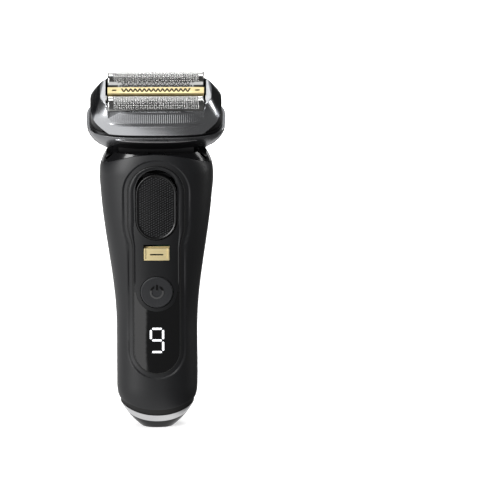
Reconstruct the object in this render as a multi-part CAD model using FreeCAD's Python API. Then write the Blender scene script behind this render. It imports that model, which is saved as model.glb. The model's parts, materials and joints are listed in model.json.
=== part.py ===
import FreeCAD, Part
import os
from math import cos, pi, sin, sqrt

# Cordless foil shaver, standing on its foot.  Millimetres, +Z up, the front faces -Y and the origin is
# the centre of the foot.  The head is drawn in its own frame: x along the foils, y towards the back and
# z up out of the cassette, with the swivel axis at its origin.  It is tilted forward and set on the handle.

V = FreeCAD.Vector
ORIGIN = V(0, 0, 0)

# ---- Handle outline ----
HANDLE_HEIGHT = 131.0          # foot to the front lip under the head
WAIST_HALF_WIDTH = 18.5
SHOULDER_HALF_WIDTH = 25.9
FOOT_HALF_WIDTH = 7.6
WAIST_FRONT = 14.5             # distances from the axis to the front and to the back
WAIST_BACK = 14.5
SHOULDER_FRONT = 18.5
SHOULDER_BACK = 17.0
FOOT_HALF_DEPTH = 8.0
BASE_ROUND_HEIGHT = 20.0       # the rounded base ends here
BASE_CURVE = 2.25
FLARE_START = 46.0             # the waist opens into the shoulders from here
BACK_FLARE_START = 26.0
BACK_FLARE_END = 76.0
SHOULDER_FALL = 10.0           # the shoulders start to round this far below the lip
YOKE_RISE = 4.0                # the rear hump of the yoke above the lip
SHOULDER_ROUND = 4.2           # what the half width loses at the lip
FRONT_ROUND = 0.8
BACK_ROUND = 2.6
SECTION_POWER = 2.6            # 2 is an ellipse, more is squarer
SECTION_POINTS = 20

# ---- Covers and base ----
WALL = 2.0
SEAM = 0.08                    # gap between pieces that are fixed together
PARTING_Y = 2.0                # where the front and rear covers meet
COVER_EDGE_Z = 9.3             # lower edge of the covers at the middle, and how much it rises at the sides
COVER_EDGE_RISE = 5.5
RING_TOP_Z = 6.5
RING_TOP_RISE = 7.4
RING_BOTTOM_Z = 3.4
RING_BOTTOM_RISE = 9.3
SEAL_SINK = 0.4
COVER_TOP_FALL = 7.0           # the covers' top edge falls this much from the middle to the shoulders
EDGE_SPAN = 17.4               # half width over which the base edges rise

# ---- Front panel ----
PANEL_SINK = 0.7
PANEL_THICK = 2.0
PANEL_TOP_RADIUS = 13.0
PANEL_HALF_WIDTH = 10.7
PANEL_BOTTOM_Z = 27.0
PANEL_TOP_DROP = 5.1           # below the lip
PANEL_NECK_DROP = 33.0         # where the panel starts to narrow
PANEL_NECK_LENGTH = 12.0
LEDGE_WIDTH = 2.4
LEDGE_SINK = 0.45
MOVING_GAP = 0.25

# ---- Controls ----
SLIDER_HALF_WIDTH = 9.4
SLIDER_LENGTH = 31.0
SLIDER_TRAVEL = 1.8
SLIDER_DROP = 3.95             # below the panel's top
SLIDER_PROUD = 0.45            # above the panel
SWITCH_HALF_WIDTH = 5.8
SWITCH_HEIGHT = 5.8
SWITCH_TRAVEL = 1.5
SWITCH_DROP = 4.1              # below the slider
BUTTON_RADIUS = 7.5
BUTTON_DROP = 15.4             # switch edge to button centre
BUTTON_TRAVEL = 0.6
BUTTON_PROUD = 0.3
DISPLAY_ARC = 9.4              # radius of the display's edge round the button
DIGIT_Z = 42.6                 # centre of the digit
DIGIT_HEIGHT = 12.0
DIGIT_WIDTH = 6.6
DIGIT_STROKE = 1.0
DIGIT_GAP = 1.05               # strokes stop this far short of the corners
ICON_RADIUS = 3.2
ICON_STROKE = 0.8
FLANGE = 1.2

# ---- Insides of the handle ----
BOARD_Y = -9.3
BOARD_THICK = 1.2
BOARD_HALF_WIDTH = 8.6
CELL_RADIUS = 7.0
CELL_LENGTH = 50.0
CELL_Y = 1.4
CHASSIS_BOTTOM = 19.0
CHASSIS_WALL = 1.4
CHASSIS_BACK = 10.0
SOCKET_HALF_X = 4.0
SOCKET_HALF_Y = 2.5
SOCKET_DEPTH = 7.0
SOCKET_WALL = 0.9
CONTACT_RADIUS = 1.4
CONTACT_SPACING = 11.0
CONTACT_Z = 20.0
SCREW_RADIUS = 1.0
SCREW_HEAD_RADIUS = 1.9
SCREW_HEAD_HEIGHT = 1.3
SCREW_LENGTH = 7.0
SCREW_X = 5.0
CROSS_HALF = 1.2               # cross recess of the screws: half length, half width and depth
CROSS_HALF_WIDTH = 0.25
CROSS_DEPTH = 0.7

# ---- Long-hair trimmer on the back ----
TRIMMER_HALF_WIDTH = 8.9
TRIMMER_BOTTOM = 74.0
TRIMMER_FLOOR_Y = 13.2
TRIMMER_TRAVEL = 12.0
TRIMMER_TOP_DROP = 5.0
COMB_RISE = 3.4
TRIMMER_TEETH = 15
GRIP_BOTTOM = 24.5
GRIP_TOP = 68.0
GRIP_HALF_WIDTH = 12.5
GRIP_PROUD = 0.3
GRIP_RIBS = 13

# ---- Swivel ----
PIVOT_Y = -4.0
PIVOT_RISE = 1.5               # above the lip
HEAD_TILT = 26.0
BARREL_RADIUS = 7.2
BARREL_HALF = 17.2
EAR_GAP = 0.4
EAR_THICK = 2.0
EAR_RADIUS = 4.6
PIN_RADIUS = 1.5
PIN_CLEARANCE = 0.05
TROUGH_GAP = 0.5
LOCK_HALF_WIDTH = 2.0
LOCK_DEPTH = 2.4
LOCK_OFFSET = 2.8              # the brake bar stands this far in front of the swivel axis
LOCK_GAP = 0.1                 # between the brake bar and the barrel when the slider is up
PLUG_INSET = 2.5               # the yoke's plug inside the covers
PLUG_CORE_INSET = 6.0

# ---- Head bowl: height, half width, half depth, squareness ----
BOWL = [
    (0.0, 22.0, 6.6, 2.6),
    (3.4, 26.4, 8.2, 2.7),
    (6.6, 28.9, 9.9, 2.9),
    (9.6, 30.4, 11.5, 3.1),
    (12.6, 31.3, 13.0, 3.3),
    (15.8, 31.7, 14.1, 3.5),
]
# ---- Cassette frame ----
FRAME = [
    (15.8, 31.8, 14.6, 3.6),
    (19.5, 31.5, 15.0, 3.6),
    (23.0, 30.9, 15.3, 3.6),
    (26.4, 29.8, 15.3, 3.6),
    (29.0, 28.6, 14.6, 3.6),
    (31.4, 27.0, 13.9, 3.6),
    (33.4, 24.9, 13.2, 3.6),
]
RING_THICK = 1.2
BOWL_WALL = 1.3
RING_FRONT_LOW = 11.0
RING_FLAT_HALF = 13.0
RING_SIDE_HALF = 23.0
FRAME_BOTTOM = 17.3
FRAME_FLAT_HALF = 20.9
FRAME_CORNER_RUN = 10.2
FRAME_CORNER_RISE = 7.6
LIP_Z = 31.4
CASSETTE_OPEN_X = 22.9
CASSETTE_OPEN_Y = 13.1
CASSETTE_LIFT = 18.0
SEAT_THICK = 1.1
RELEASE_HALF_DEPTH = 5.5
RELEASE_LOW = 4.6
RELEASE_HIGH = 13.6
RELEASE_TRAVEL = 1.0

# ---- Shaving rows ----
FOIL_Y = 8.8
FOIL_Z = 31.05
FOIL_RADIUS = 3.9
FOIL_THICK = 0.3
FOIL_HALF_LENGTH = 22.0
FOIL_LEG = 5.0
HOLDER_BOTTOM = 23.5
HOLDER_TOP = 27.5
FLOAT_TRAVEL = 2.2
CUTTER_GAP = 0.2
CUTTER_HALF_LENGTH = 19.4
CUTTER_SLOTS = 25
STROKE = 1.2                   # the cutters move this far to each side
GOLD_Y = -1.75
GOLD_HALF = 2.5
GOLD_TOP = 33.9
GOLD_TEETH = 23
GUARD_Y = 2.95
GUARD_HALF = 1.6
GUARD_TOP = 34.0
GUARD_SLOTS = 26
SHEET = 0.5
SLOT_END_RADIUS = 0.5          # small oval openings near the ends of the gold trimmer
SLOT_END_X = 19.0
DRIVE_PIN_RADIUS = 1.0
DRIVE_PIN_TOP = 27.9
DRIVE_FOOT_HALF = 2.8
TRAY_FLOOR = 19.2
TRAY_TOP = 23.2

# ---- Motor: half sizes, and heights above the swivel axis ----
STATOR_HALF_X = 13.0
STATOR_HALF_Y = 4.5
STATOR_LOW = 4.2
STATOR_TOP = 11.0
STATOR_SLOT = (4.0, 8.2)       # inner and outer edge of the slots that take the coil
STATOR_SLOT_FLOOR = 6.2
COIL_OUTER = (7.9, 6.4)
COIL_INNER = (4.1, 4.6)
COIL_LOW = 6.4
COIL_TOP = 10.6
KEEPER_HALF = (12.0, 4.4)
KEEPER_LOW = 12.3
KEEPER_TOP = 13.3
MAGNET_EDGES = (2.5, 9.5)
MAGNET_HALF_Y = 4.0
MAGNET_LOW = 11.4
BRIDGE_HALF = (6.0, 9.7)
BRIDGE_TOP = 14.8
LEAF_X = 15.5
LEAF_THICK = 0.4
LEAF_HALF_Y = 4.0
LEAF_TOP = 14.6
RELEASE_SPRING_RADIUS = 1.6
RELEASE_WIRE = 0.22
FLOAT_SPRING_RADIUS = 1.2
FLOAT_WIRE = 0.2
FLOAT_SPRING_X = 16.0
SPRING_COILS = 3

# ---- Worked-out places ----
PIVOT_Z = HANDLE_HEIGHT + PIVOT_RISE
YOKE_TOP = HANDLE_HEIGHT + YOKE_RISE
SHOULDER_Z = HANDLE_HEIGHT - SHOULDER_FALL
PANEL_TOP = HANDLE_HEIGHT - PANEL_TOP_DROP
SLIDER_TOP = PANEL_TOP - SLIDER_DROP
SLIDER_BOTTOM = SLIDER_TOP - SLIDER_LENGTH
SWITCH_TOP = SLIDER_BOTTOM - SWITCH_DROP
SWITCH_BOTTOM = SWITCH_TOP - SWITCH_HEIGHT
BUTTON_Z = SWITCH_BOTTOM - BUTTON_DROP
CHASSIS_TOP = HANDLE_HEIGHT - 27.0
YOKE_BOTTOM = CHASSIS_TOP + 2.0
EAR_INNER = BARREL_HALF + EAR_GAP
EAR_OUTER = EAR_INNER + EAR_THICK
TRIMMER_TOP = HANDLE_HEIGHT - TRIMMER_TOP_DROP
PANEL_BACK = PANEL_SINK + PANEL_THICK
CELL_BOTTOM = CHASSIS_BOTTOM + 4.0
FAR = 60.0


# ---- Plain shapes ----
def box(x0, x1, y0, y1, z0, z1):
    """A block between two corners."""
    return Part.makeBox(x1 - x0, y1 - y0, z1 - z0, V(x0, y0, z0))


def x_cylinder(radius, x0, x1, y, z):
    """A round bar along X."""
    return Part.makeCylinder(radius, x1 - x0, V(x0, y, z), V(1, 0, 0))


def y_cylinder(radius, x, y0, y1, z):
    """A round bar along Y."""
    return Part.makeCylinder(radius, y1 - y0, V(x, y0, z), V(0, 1, 0))


def z_cylinder(radius, x, y, z0, z1):
    """A round bar along Z."""
    return Part.makeCylinder(radius, z1 - z0, V(x, y, z0))


def through_y(edges, y0=-FAR, y1=FAR):
    """The solid of a closed outline in the XZ plane, drawn through Y."""
    face = Part.Face(Part.Wire(edges))
    face.translate(V(0, y0, 0))
    return face.extrude(V(0, y1 - y0, 0))


def line(a, b):
    """A straight edge between two points of the XZ plane."""
    return Part.makeLine(V(a[0], 0, a[1]), V(b[0], 0, b[1]))


def arc(a, b, c):
    """An arc through three points of the XZ plane."""
    return Part.Arc(V(a[0], 0, a[1]), V(b[0], 0, b[1]), V(c[0], 0, c[1])).toShape()


def bend(*poles):
    """A Bezier edge in the XZ plane."""
    curve = Part.BezierCurve()
    curve.setPoles([V(x, 0, z) for x, z in poles])
    return curve.toShape()


def polygon(points):
    """The edges of a closed polygon in the XZ plane."""
    return [line(a, b) for a, b in zip(points, points[1:] + points[:1])]


def mirrored(shape):
    """A shape and its mirror image across the YZ plane, as separate solids."""
    return Part.makeCompound([shape, shape.mirror(ORIGIN, V(1, 0, 0))])


def fused(shapes):
    """Several shapes joined into one solid."""
    return shapes[0].multiFuse(shapes[1:]).removeSplitter()


def section(half_x, half_y, centre_y, z, power):
    """A closed superellipse at height z: |x/a|^p + |y/b|^p = 1, with its points spread evenly."""
    points = []
    for i in range(SECTION_POINTS):
        turn = 2 * pi * i / SECTION_POINTS
        reach = (abs(cos(turn)) ** power + abs(sin(turn)) ** power) ** (-1 / power)
        points.append(V(half_x * reach * cos(turn), centre_y + half_y * reach * sin(turn), z))
    curve = Part.BSplineCurve()
    curve.interpolate(Points=points, PeriodicFlag=True)
    return Part.Wire(curve.toShape())


def smooth(t):
    """An S-shaped step from 0 to 1."""
    t = min(max(t, 0.0), 1.0)
    return t * t * (3 - 2 * t)


# ---- The handle's outer shape ----
def handle_reach(z, foot, waist, shoulder, flare_start, flare_end, lost):
    """Distance from the axis to the skin at height z."""
    base = max(1 - z / BASE_ROUND_HEIGHT, 0.0) ** BASE_CURVE
    flare = smooth((z - flare_start) / (flare_end - flare_start))
    top = max((z - SHOULDER_Z) / SHOULDER_FALL, 0.0) ** 1.8
    return waist + (shoulder - waist) * flare - (waist - foot) * base - lost * top


def half_width(z):
    return handle_reach(z, FOOT_HALF_WIDTH, WAIST_HALF_WIDTH, SHOULDER_HALF_WIDTH,
                        FLARE_START, SHOULDER_Z, SHOULDER_ROUND)


def front_reach(z):
    return handle_reach(z, FOOT_HALF_DEPTH, WAIST_FRONT, SHOULDER_FRONT,
                        FLARE_START, SHOULDER_Z - 20.0, FRONT_ROUND)


def back_reach(z):
    return handle_reach(z, FOOT_HALF_DEPTH, WAIST_BACK, SHOULDER_BACK,
                        BACK_FLARE_START, BACK_FLARE_END, BACK_ROUND)


def handle_stations():
    """Heights at which the handle's sections are taken."""
    base = [BASE_ROUND_HEIGHT * t for t in (0.0, 0.1, 0.25, 0.5, 0.75, 1.0)]
    middle = [BASE_ROUND_HEIGHT + (SHOULDER_Z - BASE_ROUND_HEIGHT) * i / 7 for i in range(1, 8)]
    top = [SHOULDER_Z + (YOKE_TOP - SHOULDER_Z) * i / 3 for i in range(1, 4)]
    return base + middle + top


HANDLES = {}


def handle(inset=0.0):
    """The handle's outer shape, moved inwards by inset."""
    key = round(inset, 3)
    if key not in HANDLES:
        wires = []
        for z in handle_stations():
            front = front_reach(z) - inset
            back = back_reach(z) - inset
            wires.append(section(half_width(z) - inset, (front + back) / 2, (back - front) / 2,
                                 z, SECTION_POWER))
        HANDLES[key] = Part.makeLoft(wires, True, False)
    return HANDLES[key].copy()


def prism(inset, z0, z1):
    """An upright block with the handle's section at z0, moved inwards by inset."""
    front = front_reach(z0) - inset
    back = back_reach(z0) - inset
    wire = section(half_width(z0) - inset, (front + back) / 2, (back - front) / 2, z0, SECTION_POWER)
    return Part.Face(wire).extrude(V(0, 0, z1 - z0))


def front_slice(outline, outer, inner):
    """The part of the front skin inside an outline, between two depths below the surface."""
    return outline.common(handle(outer)).cut(handle(inner))


def below_edge(middle, rise):
    """Everything under a curved edge that rises towards both sides."""
    side = FAR / 2
    edge = middle + rise * (side / EDGE_SPAN) ** 2
    top = arc((-side, edge), (0, middle), (side, edge))
    rest = [line((side, edge), (side, -5)), line((side, -5), (-side, -5)), line((-side, -5), (-side, edge))]
    return through_y([top] + rest)


def above_covers(gap):
    """Everything over the covers' top edge, which is highest in the middle."""
    side = SHOULDER_HALF_WIDTH + 8
    middle = HANDLE_HEIGHT + gap
    edge = middle - COVER_TOP_FALL * (side / SHOULDER_HALF_WIDTH) ** 2
    top = YOKE_TOP + 20
    curve = arc((-side, edge), (0, middle), (side, edge))
    rest = [line((side, edge), (side, top)), line((side, top), (-side, top)), line((-side, top), (-side, edge))]
    return through_y([curve] + rest)


# ---- Outlines on the front ----
FRONT_Y = -FAR
FRONT_END = -6.0


def panel_outline(grow):
    """The front panel: a wide round top that narrows into a straight, round-ended foot."""
    top_r = PANEL_TOP_RADIUS + grow
    low_r = PANEL_HALF_WIDTH + grow
    top_z = PANEL_TOP - PANEL_TOP_RADIUS
    low_z = PANEL_BOTTOM_Z + PANEL_HALF_WIDTH
    neck = HANDLE_HEIGHT - PANEL_NECK_DROP
    end = neck - PANEL_NECK_LENGTH
    half = (neck + end) / 2
    edges = [
        arc((-top_r, top_z), (0, top_z + top_r), (top_r, top_z)),
        line((top_r, top_z), (top_r, neck)),
        bend((top_r, neck), (top_r, half), (low_r, half), (low_r, end)),
        line((low_r, end), (low_r, low_z)),
        arc((low_r, low_z), (0, low_z - low_r), (-low_r, low_z)),
        line((-low_r, low_z), (-low_r, end)),
        bend((-low_r, end), (-low_r, half), (-top_r, half), (-top_r, neck)),
        line((-top_r, neck), (-top_r, top_z)),
    ]
    return through_y(edges, FRONT_Y, FRONT_END)


def stadium(half, z0, z1, y0=FRONT_Y, y1=FRONT_END):
    """An upright stadium: straight sides and round ends."""
    low = z0 + half
    high = z1 - half
    edges = [
        arc((-half, high), (0, z1), (half, high)),
        line((half, high), (half, low)),
        arc((half, low), (0, z0), (-half, low)),
        line((-half, low), (-half, high)),
    ]
    return through_y(edges, y0, y1)


def button_disc(grow):
    return y_cylinder(BUTTON_RADIUS + grow, 0, FRONT_Y, FRONT_END, BUTTON_Z)


def switch_slot(grow, travel):
    return box(-SWITCH_HALF_WIDTH - grow, SWITCH_HALF_WIDTH + grow, FRONT_Y, FRONT_END,
               SWITCH_BOTTOM - grow, SWITCH_TOP + travel + grow)


def display_area(gap):
    """The display's outline: the panel's foot, less a round bite about the power button."""
    area = panel_outline(-gap)
    area = area.common(box(-FAR, FAR, FRONT_Y, FRONT_END, 0, BUTTON_Z - gap))
    return area.cut(y_cylinder(DISPLAY_ARC + gap, 0, FRONT_Y, FRONT_END, BUTTON_Z))


# ---- Handle shells ----
def cover_blank():
    """Both covers in one: the skin between its lower and upper edges."""
    skin = handle(0).cut(handle(WALL))
    skin = skin.cut(below_edge(COVER_EDGE_Z, COVER_EDGE_RISE))
    return skin.cut(above_covers(0))


def front_cover(blank):
    shell = blank.common(box(-FAR, FAR, -FAR, PARTING_Y - SEAM / 2, 0, FAR * 3))
    shell = shell.cut(panel_outline(SEAM))
    ledge = front_slice(panel_outline(LEDGE_WIDTH), -0.5, LEDGE_SINK)
    return shell.cut(ledge)


def trimmer_channel(gap):
    """The straight channel that the trimmer slides in, open to the back and at the top."""
    half = TRIMMER_HALF_WIDTH + gap
    return box(-half, half, TRIMMER_FLOOR_Y, FAR, TRIMMER_BOTTOM - gap, FAR * 3)


def grip_area(grow):
    return stadium(GRIP_HALF_WIDTH + grow, GRIP_BOTTOM + 2 - grow, GRIP_TOP + grow, PARTING_Y + 3, FAR)


def station_contact(grow, y0, y1):
    x = CONTACT_SPACING / 2
    return mirrored(y_cylinder(CONTACT_RADIUS + grow, x, y0, y1, CONTACT_Z))


def rear_cover(blank):
    shell = blank.common(box(-FAR, FAR, PARTING_Y + SEAM / 2, FAR, 0, FAR * 3))
    half = TRIMMER_HALF_WIDTH + MOVING_GAP + 1.2
    bed = box(-half, half, TRIMMER_FLOOR_Y - 1.2, FAR, TRIMMER_BOTTOM - 1.4, HANDLE_HEIGHT)
    bed = bed.common(handle(WALL / 2)).cut(above_covers(0))
    shell = shell.fuse(bed).cut(trimmer_channel(MOVING_GAP))
    shell = shell.cut(grip_area(SEAM).cut(handle(0.9)))
    shell = shell.cut(station_contact(SEAM, PARTING_Y + 3, FAR))
    return shell.removeSplitter()


def rear_grip():
    """A ribbed rubber pad let into the rear cover."""
    pad = grip_area(0).common(handle(-GRIP_PROUD)).cut(handle(0.9 - SEAM))
    pitch = (GRIP_TOP - GRIP_BOTTOM) / GRIP_RIBS
    floor = handle(0.2)
    grooves = []
    for i in range(1, GRIP_RIBS):
        z = GRIP_BOTTOM + pitch * i
        grooves.append(box(-FAR, FAR, PARTING_Y, FAR, z - 0.45, z + 0.45))
    return pad.cut(Part.makeCompound(grooves).cut(floor))


def base_seal():
    band = handle(SEAL_SINK).cut(handle(WALL))
    band = band.common(below_edge(COVER_EDGE_Z - SEAM, COVER_EDGE_RISE))
    return band.cut(below_edge(RING_TOP_Z, RING_TOP_RISE))


def base_ring():
    band = handle(0).cut(handle(WALL))
    band = band.common(below_edge(RING_TOP_Z - SEAM, RING_TOP_RISE))
    return band.cut(below_edge(RING_BOTTOM_Z, RING_BOTTOM_RISE))


def socket_block(grow):
    half_x = SOCKET_HALF_X + SOCKET_WALL + grow
    half_y = SOCKET_HALF_Y + SOCKET_WALL + grow
    return box(-half_x, half_x, -half_y, half_y, -5, SOCKET_DEPTH + 1.4 + grow)


def base_cap():
    cap = handle(0).common(below_edge(RING_BOTTOM_Z - SEAM, RING_BOTTOM_RISE))
    hollow = handle(WALL).common(box(-FAR, FAR, -FAR, FAR, WALL, FAR))
    return cap.cut(hollow).cut(socket_block(SEAM))


def charging_socket():
    block = socket_block(0).common(box(-FAR, FAR, -FAR, FAR, 0.2, FAR))
    flange = box(-SOCKET_HALF_X - 2.6, SOCKET_HALF_X + 2.6, -SOCKET_HALF_Y - 2.0, SOCKET_HALF_Y + 2.0,
                 WALL + SEAM + 0.3, WALL + 1.5)
    well = box(-SOCKET_HALF_X, SOCKET_HALF_X, -SOCKET_HALF_Y, SOCKET_HALF_Y, -5, SOCKET_DEPTH)
    return fused([block, flange]).cut(well).cut(socket_pins())


def socket_pins():
    """Two contact pads in the socket's roof."""
    return mirrored(z_cylinder(0.9, SOCKET_HALF_X / 2, 0, SOCKET_DEPTH, SOCKET_DEPTH + 3.0))


# ---- Front panel and controls ----
def front_panel():
    panel = front_slice(panel_outline(0), PANEL_SINK, PANEL_BACK)
    panel = panel.cut(box(-FAR, FAR, -FAR, 0, 0, BUTTON_Z).cut(button_disc(DISPLAY_ARC - BUTTON_RADIUS)))
    panel = panel.cut(stadium(SLIDER_HALF_WIDTH + MOVING_GAP, SLIDER_BOTTOM - MOVING_GAP,
                              SLIDER_TOP + SLIDER_TRAVEL + MOVING_GAP))
    panel = panel.cut(switch_slot(MOVING_GAP, SWITCH_TRAVEL))
    return panel.cut(button_disc(MOVING_GAP))


def display_window(segments):
    window = front_slice(display_area(SEAM), PANEL_SINK, PANEL_BACK)
    return window.cut(segments)


def segment(x0, z0, x1, z1, grow):
    """One stroke of the digit, with round ends, between two points."""
    r = DIGIT_STROKE / 2 + grow
    if abs(x1 - x0) > abs(z1 - z0):
        bar = box(x0, x1, FRONT_Y, FRONT_END, z0 - r, z0 + r)
    else:
        bar = box(x0 - r, x0 + r, FRONT_Y, FRONT_END, z0, z1)
    ends = [y_cylinder(r, x, FRONT_Y, FRONT_END, z) for x, z in ((x0, z0), (x1, z1))]
    return fused([bar] + ends)


def digit_strokes():
    """Six of the seven strokes of a numeric display, which show a nine."""
    half = (DIGIT_WIDTH - DIGIT_STROKE) / 2
    tall = (DIGIT_HEIGHT - DIGIT_STROKE) / 2
    gap = DIGIT_GAP
    across = half - gap
    low = DIGIT_Z - tall
    high = DIGIT_Z + tall
    strokes = [segment(-across, z, across, z, 0) for z in (low, DIGIT_Z, high)]
    strokes.append(segment(half, low + gap, half, DIGIT_Z - gap, 0))
    strokes.append(segment(half, DIGIT_Z + gap, half, high - gap, 0))
    strokes.append(segment(-half, DIGIT_Z + gap, -half, high - gap, 0))
    return Part.makeCompound(strokes)


def display_segments():
    return digit_strokes().common(handle(PANEL_SINK)).cut(handle(PANEL_BACK))


def display_module():
    half = DIGIT_WIDTH / 2 + 2.4
    tall = DIGIT_HEIGHT / 2 + 3.0
    block = box(-half, half, BOARD_Y - 3.5, BOARD_Y - 0.1, DIGIT_Z - tall, DIGIT_Z + tall)
    return block.common(handle(PANEL_BACK + 0.1))


def flat_flange(half_x, z0, z1, thick):
    """A retaining flange behind the panel."""
    block = box(-half_x, half_x, FRONT_Y, FRONT_END, z0, z1)
    return block.common(handle(PANEL_BACK + 0.25)).cut(handle(PANEL_BACK + 0.25 + thick))


def lock_slider():
    cap = front_slice(stadium(SLIDER_HALF_WIDTH, SLIDER_BOTTOM, SLIDER_TOP),
                      PANEL_SINK - SLIDER_PROUD, PANEL_BACK + 0.35)
    wing = 1.4
    flange = flat_flange(SLIDER_HALF_WIDTH + wing, SLIDER_BOTTOM + 9, SLIDER_TOP - 9, FLANGE)
    stem = box(-3, 3, -15.0, -9.0, SLIDER_TOP - 12, SLIDER_TOP - 6)
    stem = stem.common(handle(PANEL_BACK))
    return fused([cap, flange, stem])


def lock_bar():
    """The brake bar behind the slider: when the slider is up, it stands against the head's barrel."""
    y1 = PIVOT_Y - LOCK_OFFSET
    y0 = y1 - LOCK_DEPTH
    barrel_drop = sqrt(BARREL_RADIUS ** 2 - LOCK_OFFSET ** 2)
    top = PIVOT_Z - barrel_drop - SLIDER_TRAVEL - LOCK_GAP
    bar = box(-LOCK_HALF_WIDTH, LOCK_HALF_WIDTH, y0, y1, SLIDER_TOP - 10, top)
    return bar.cut(box(-3.01, 3.01, -15.01, -8.99, SLIDER_TOP - 12, SLIDER_TOP - 5.9))


def precision_switch():
    """A tab in a slot, with a mark cut in it and a low rim on both sides."""
    tab = front_slice(switch_slot(0, 0), PANEL_SINK + 0.1, PANEL_BACK + 0.3)
    rim_w = 0.7
    rims = mirrored(box(SWITCH_HALF_WIDTH - rim_w, SWITCH_HALF_WIDTH, FRONT_Y, FRONT_END,
                        SWITCH_BOTTOM + 0.8, SWITCH_TOP))
    rims = rims.common(handle(PANEL_SINK - 0.35)).cut(handle(PANEL_SINK + 0.4))
    flange = flat_flange(SWITCH_HALF_WIDTH + 1.2, SWITCH_BOTTOM - 0.8, SWITCH_TOP + 0.4, 0.9)
    mark = box(-3.0, 3.0, FRONT_Y, FRONT_END, SWITCH_BOTTOM + 2.5, SWITCH_BOTTOM + 3.1)
    return fused([tab, rims, flange]).cut(mark.cut(handle(PANEL_SINK + 0.4)))


def icon_strokes():
    """A power symbol: an open ring and a short bar."""
    ring = y_cylinder(ICON_RADIUS, 0, FRONT_Y, FRONT_END, BUTTON_Z)
    ring = ring.cut(y_cylinder(ICON_RADIUS - ICON_STROKE, 0, FRONT_Y, FRONT_END, BUTTON_Z))
    notch = box(-1.25, 1.25, FRONT_Y, FRONT_END, BUTTON_Z, BUTTON_Z + FAR)
    bar = box(-ICON_STROKE / 2, ICON_STROKE / 2, FRONT_Y, FRONT_END, BUTTON_Z + 0.6, BUTTON_Z + ICON_RADIUS + 0.4)
    return Part.makeCompound([ring.cut(notch), bar])


def power_button(icon):
    cap = front_slice(button_disc(0), PANEL_SINK - BUTTON_PROUD, PANEL_BACK + 0.3)
    flange = y_cylinder(BUTTON_RADIUS + 0.9, 0, FRONT_Y, FRONT_END, BUTTON_Z)
    flange = flange.common(handle(PANEL_BACK + 0.25)).cut(handle(PANEL_BACK + 0.95))
    return fused([cap, flange]).cut(icon)


def power_icon():
    return icon_strokes().common(handle(PANEL_SINK - BUTTON_PROUD)).cut(handle(PANEL_SINK + 0.2))


def button_seal():
    """A soft ring round the switch on the board, clear of the button's travel."""
    y1 = BOARD_Y - 0.1
    y0 = y1 - 0.9
    ring = y_cylinder(BUTTON_RADIUS - 2.5, 0, y0, y1, BUTTON_Z)
    return ring.cut(y_cylinder(BUTTON_RADIUS - 4.5, 0, y0 - 1, y1 + 1, BUTTON_Z))


# ---- Insides of the handle ----
def chassis():
    """An upright channel that carries the cell, open to the front, with shelves at both ends."""
    half = CELL_RADIUS + 0.3 + CHASSIS_WALL
    front = BOARD_Y + BOARD_THICK + 0.1
    outer = box(-half, half, front, CHASSIS_BACK, CHASSIS_BOTTOM, CHASSIS_TOP)
    inner_half = half - CHASSIS_WALL
    well = box(-inner_half, inner_half, front - 1, CHASSIS_BACK - CHASSIS_WALL,
               CELL_BOTTOM - 0.3, CELL_BOTTOM + CELL_LENGTH + 0.3)
    top_well = box(-inner_half, inner_half, front - 1, CHASSIS_BACK - CHASSIS_WALL,
                   CELL_BOTTOM + CELL_LENGTH + 2.3, CHASSIS_TOP - 2.0)
    low_well = box(-inner_half, inner_half, front - 1, CHASSIS_BACK - CHASSIS_WALL,
                   CHASSIS_BOTTOM - 1, CELL_BOTTOM - 1.8)
    frame = outer.cut(Part.makeCompound([well, top_well, low_well]))
    return frame.cut(yoke_screw_holes(SCREW_RADIUS))



def yoke_screw_holes(radius):
    return mirrored(z_cylinder(radius, SCREW_X, 0.0, CHASSIS_TOP - 3.0, CHASSIS_TOP + 9.0))


def screw(x, y, z):
    """A pan-head screw along Z with its head above z and a cross recess."""
    top = z + SCREW_HEAD_HEIGHT
    shank = z_cylinder(SCREW_RADIUS, x, y, z - SCREW_LENGTH, z)
    head = z_cylinder(SCREW_HEAD_RADIUS, x, y, z, top)
    low = top - CROSS_DEPTH
    long = CROSS_HALF
    thin = CROSS_HALF_WIDTH
    cross = [box(x - long, x + long, y - thin, y + thin, low, top),
             box(x - thin, x + thin, y - long, y + long, low, top)]
    return shank.fuse(head).cut(Part.makeCompound(cross)).removeSplitter()


def yoke_screws():
    """Two screws that fix the yoke to the chassis."""
    z = YOKE_BOTTOM + 2.6
    return Part.makeCompound([screw(SCREW_X, 0.0, z), screw(-SCREW_X, 0.0, z)])


def battery_cell():
    can = z_cylinder(CELL_RADIUS, 0, CELL_Y, CELL_BOTTOM, CELL_BOTTOM + CELL_LENGTH - 1.4)
    cap = z_cylinder(3.0, 0, CELL_Y, CELL_BOTTOM + CELL_LENGTH - 1.4, CELL_BOTTOM + CELL_LENGTH)
    return can.fuse(cap)


def circuit_board():
    return box(-BOARD_HALF_WIDTH, BOARD_HALF_WIDTH, BOARD_Y, BOARD_Y + BOARD_THICK,
               CHASSIS_BOTTOM + 2, CHASSIS_TOP - 4)


def board_parts():
    """Chips, a coil and an inductor on the back and front of the board."""
    face = BOARD_Y - 0.02
    top = CHASSIS_TOP - 6
    chips = [
        box(-3.5, 3.5, face - 1.0, face, BUTTON_Z - 13.5, BUTTON_Z - 8.5),
        box(-6.5, -3.0, face - 0.8, face, PANEL_BOTTOM_Z, PANEL_BOTTOM_Z + 4.0),
        box(2.5, 6.5, face - 1.0, face, SWITCH_BOTTOM - 7, SWITCH_BOTTOM - 3),
    ]
    chips.append(y_cylinder(2.0, 0, BOARD_Y + BOARD_THICK + 0.02, BOARD_Y + BOARD_THICK + 2.4, top - 4))
    return Part.makeCompound(chips)


# ---- Yoke and swivel ----
def pivot_trough():
    """The round hollow across the handle's top in which the head turns."""
    return x_cylinder(BARREL_RADIUS + TROUGH_GAP, -RING_SIDE_HALF, RING_SIDE_HALF, PIVOT_Y, PIVOT_Z)


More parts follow.
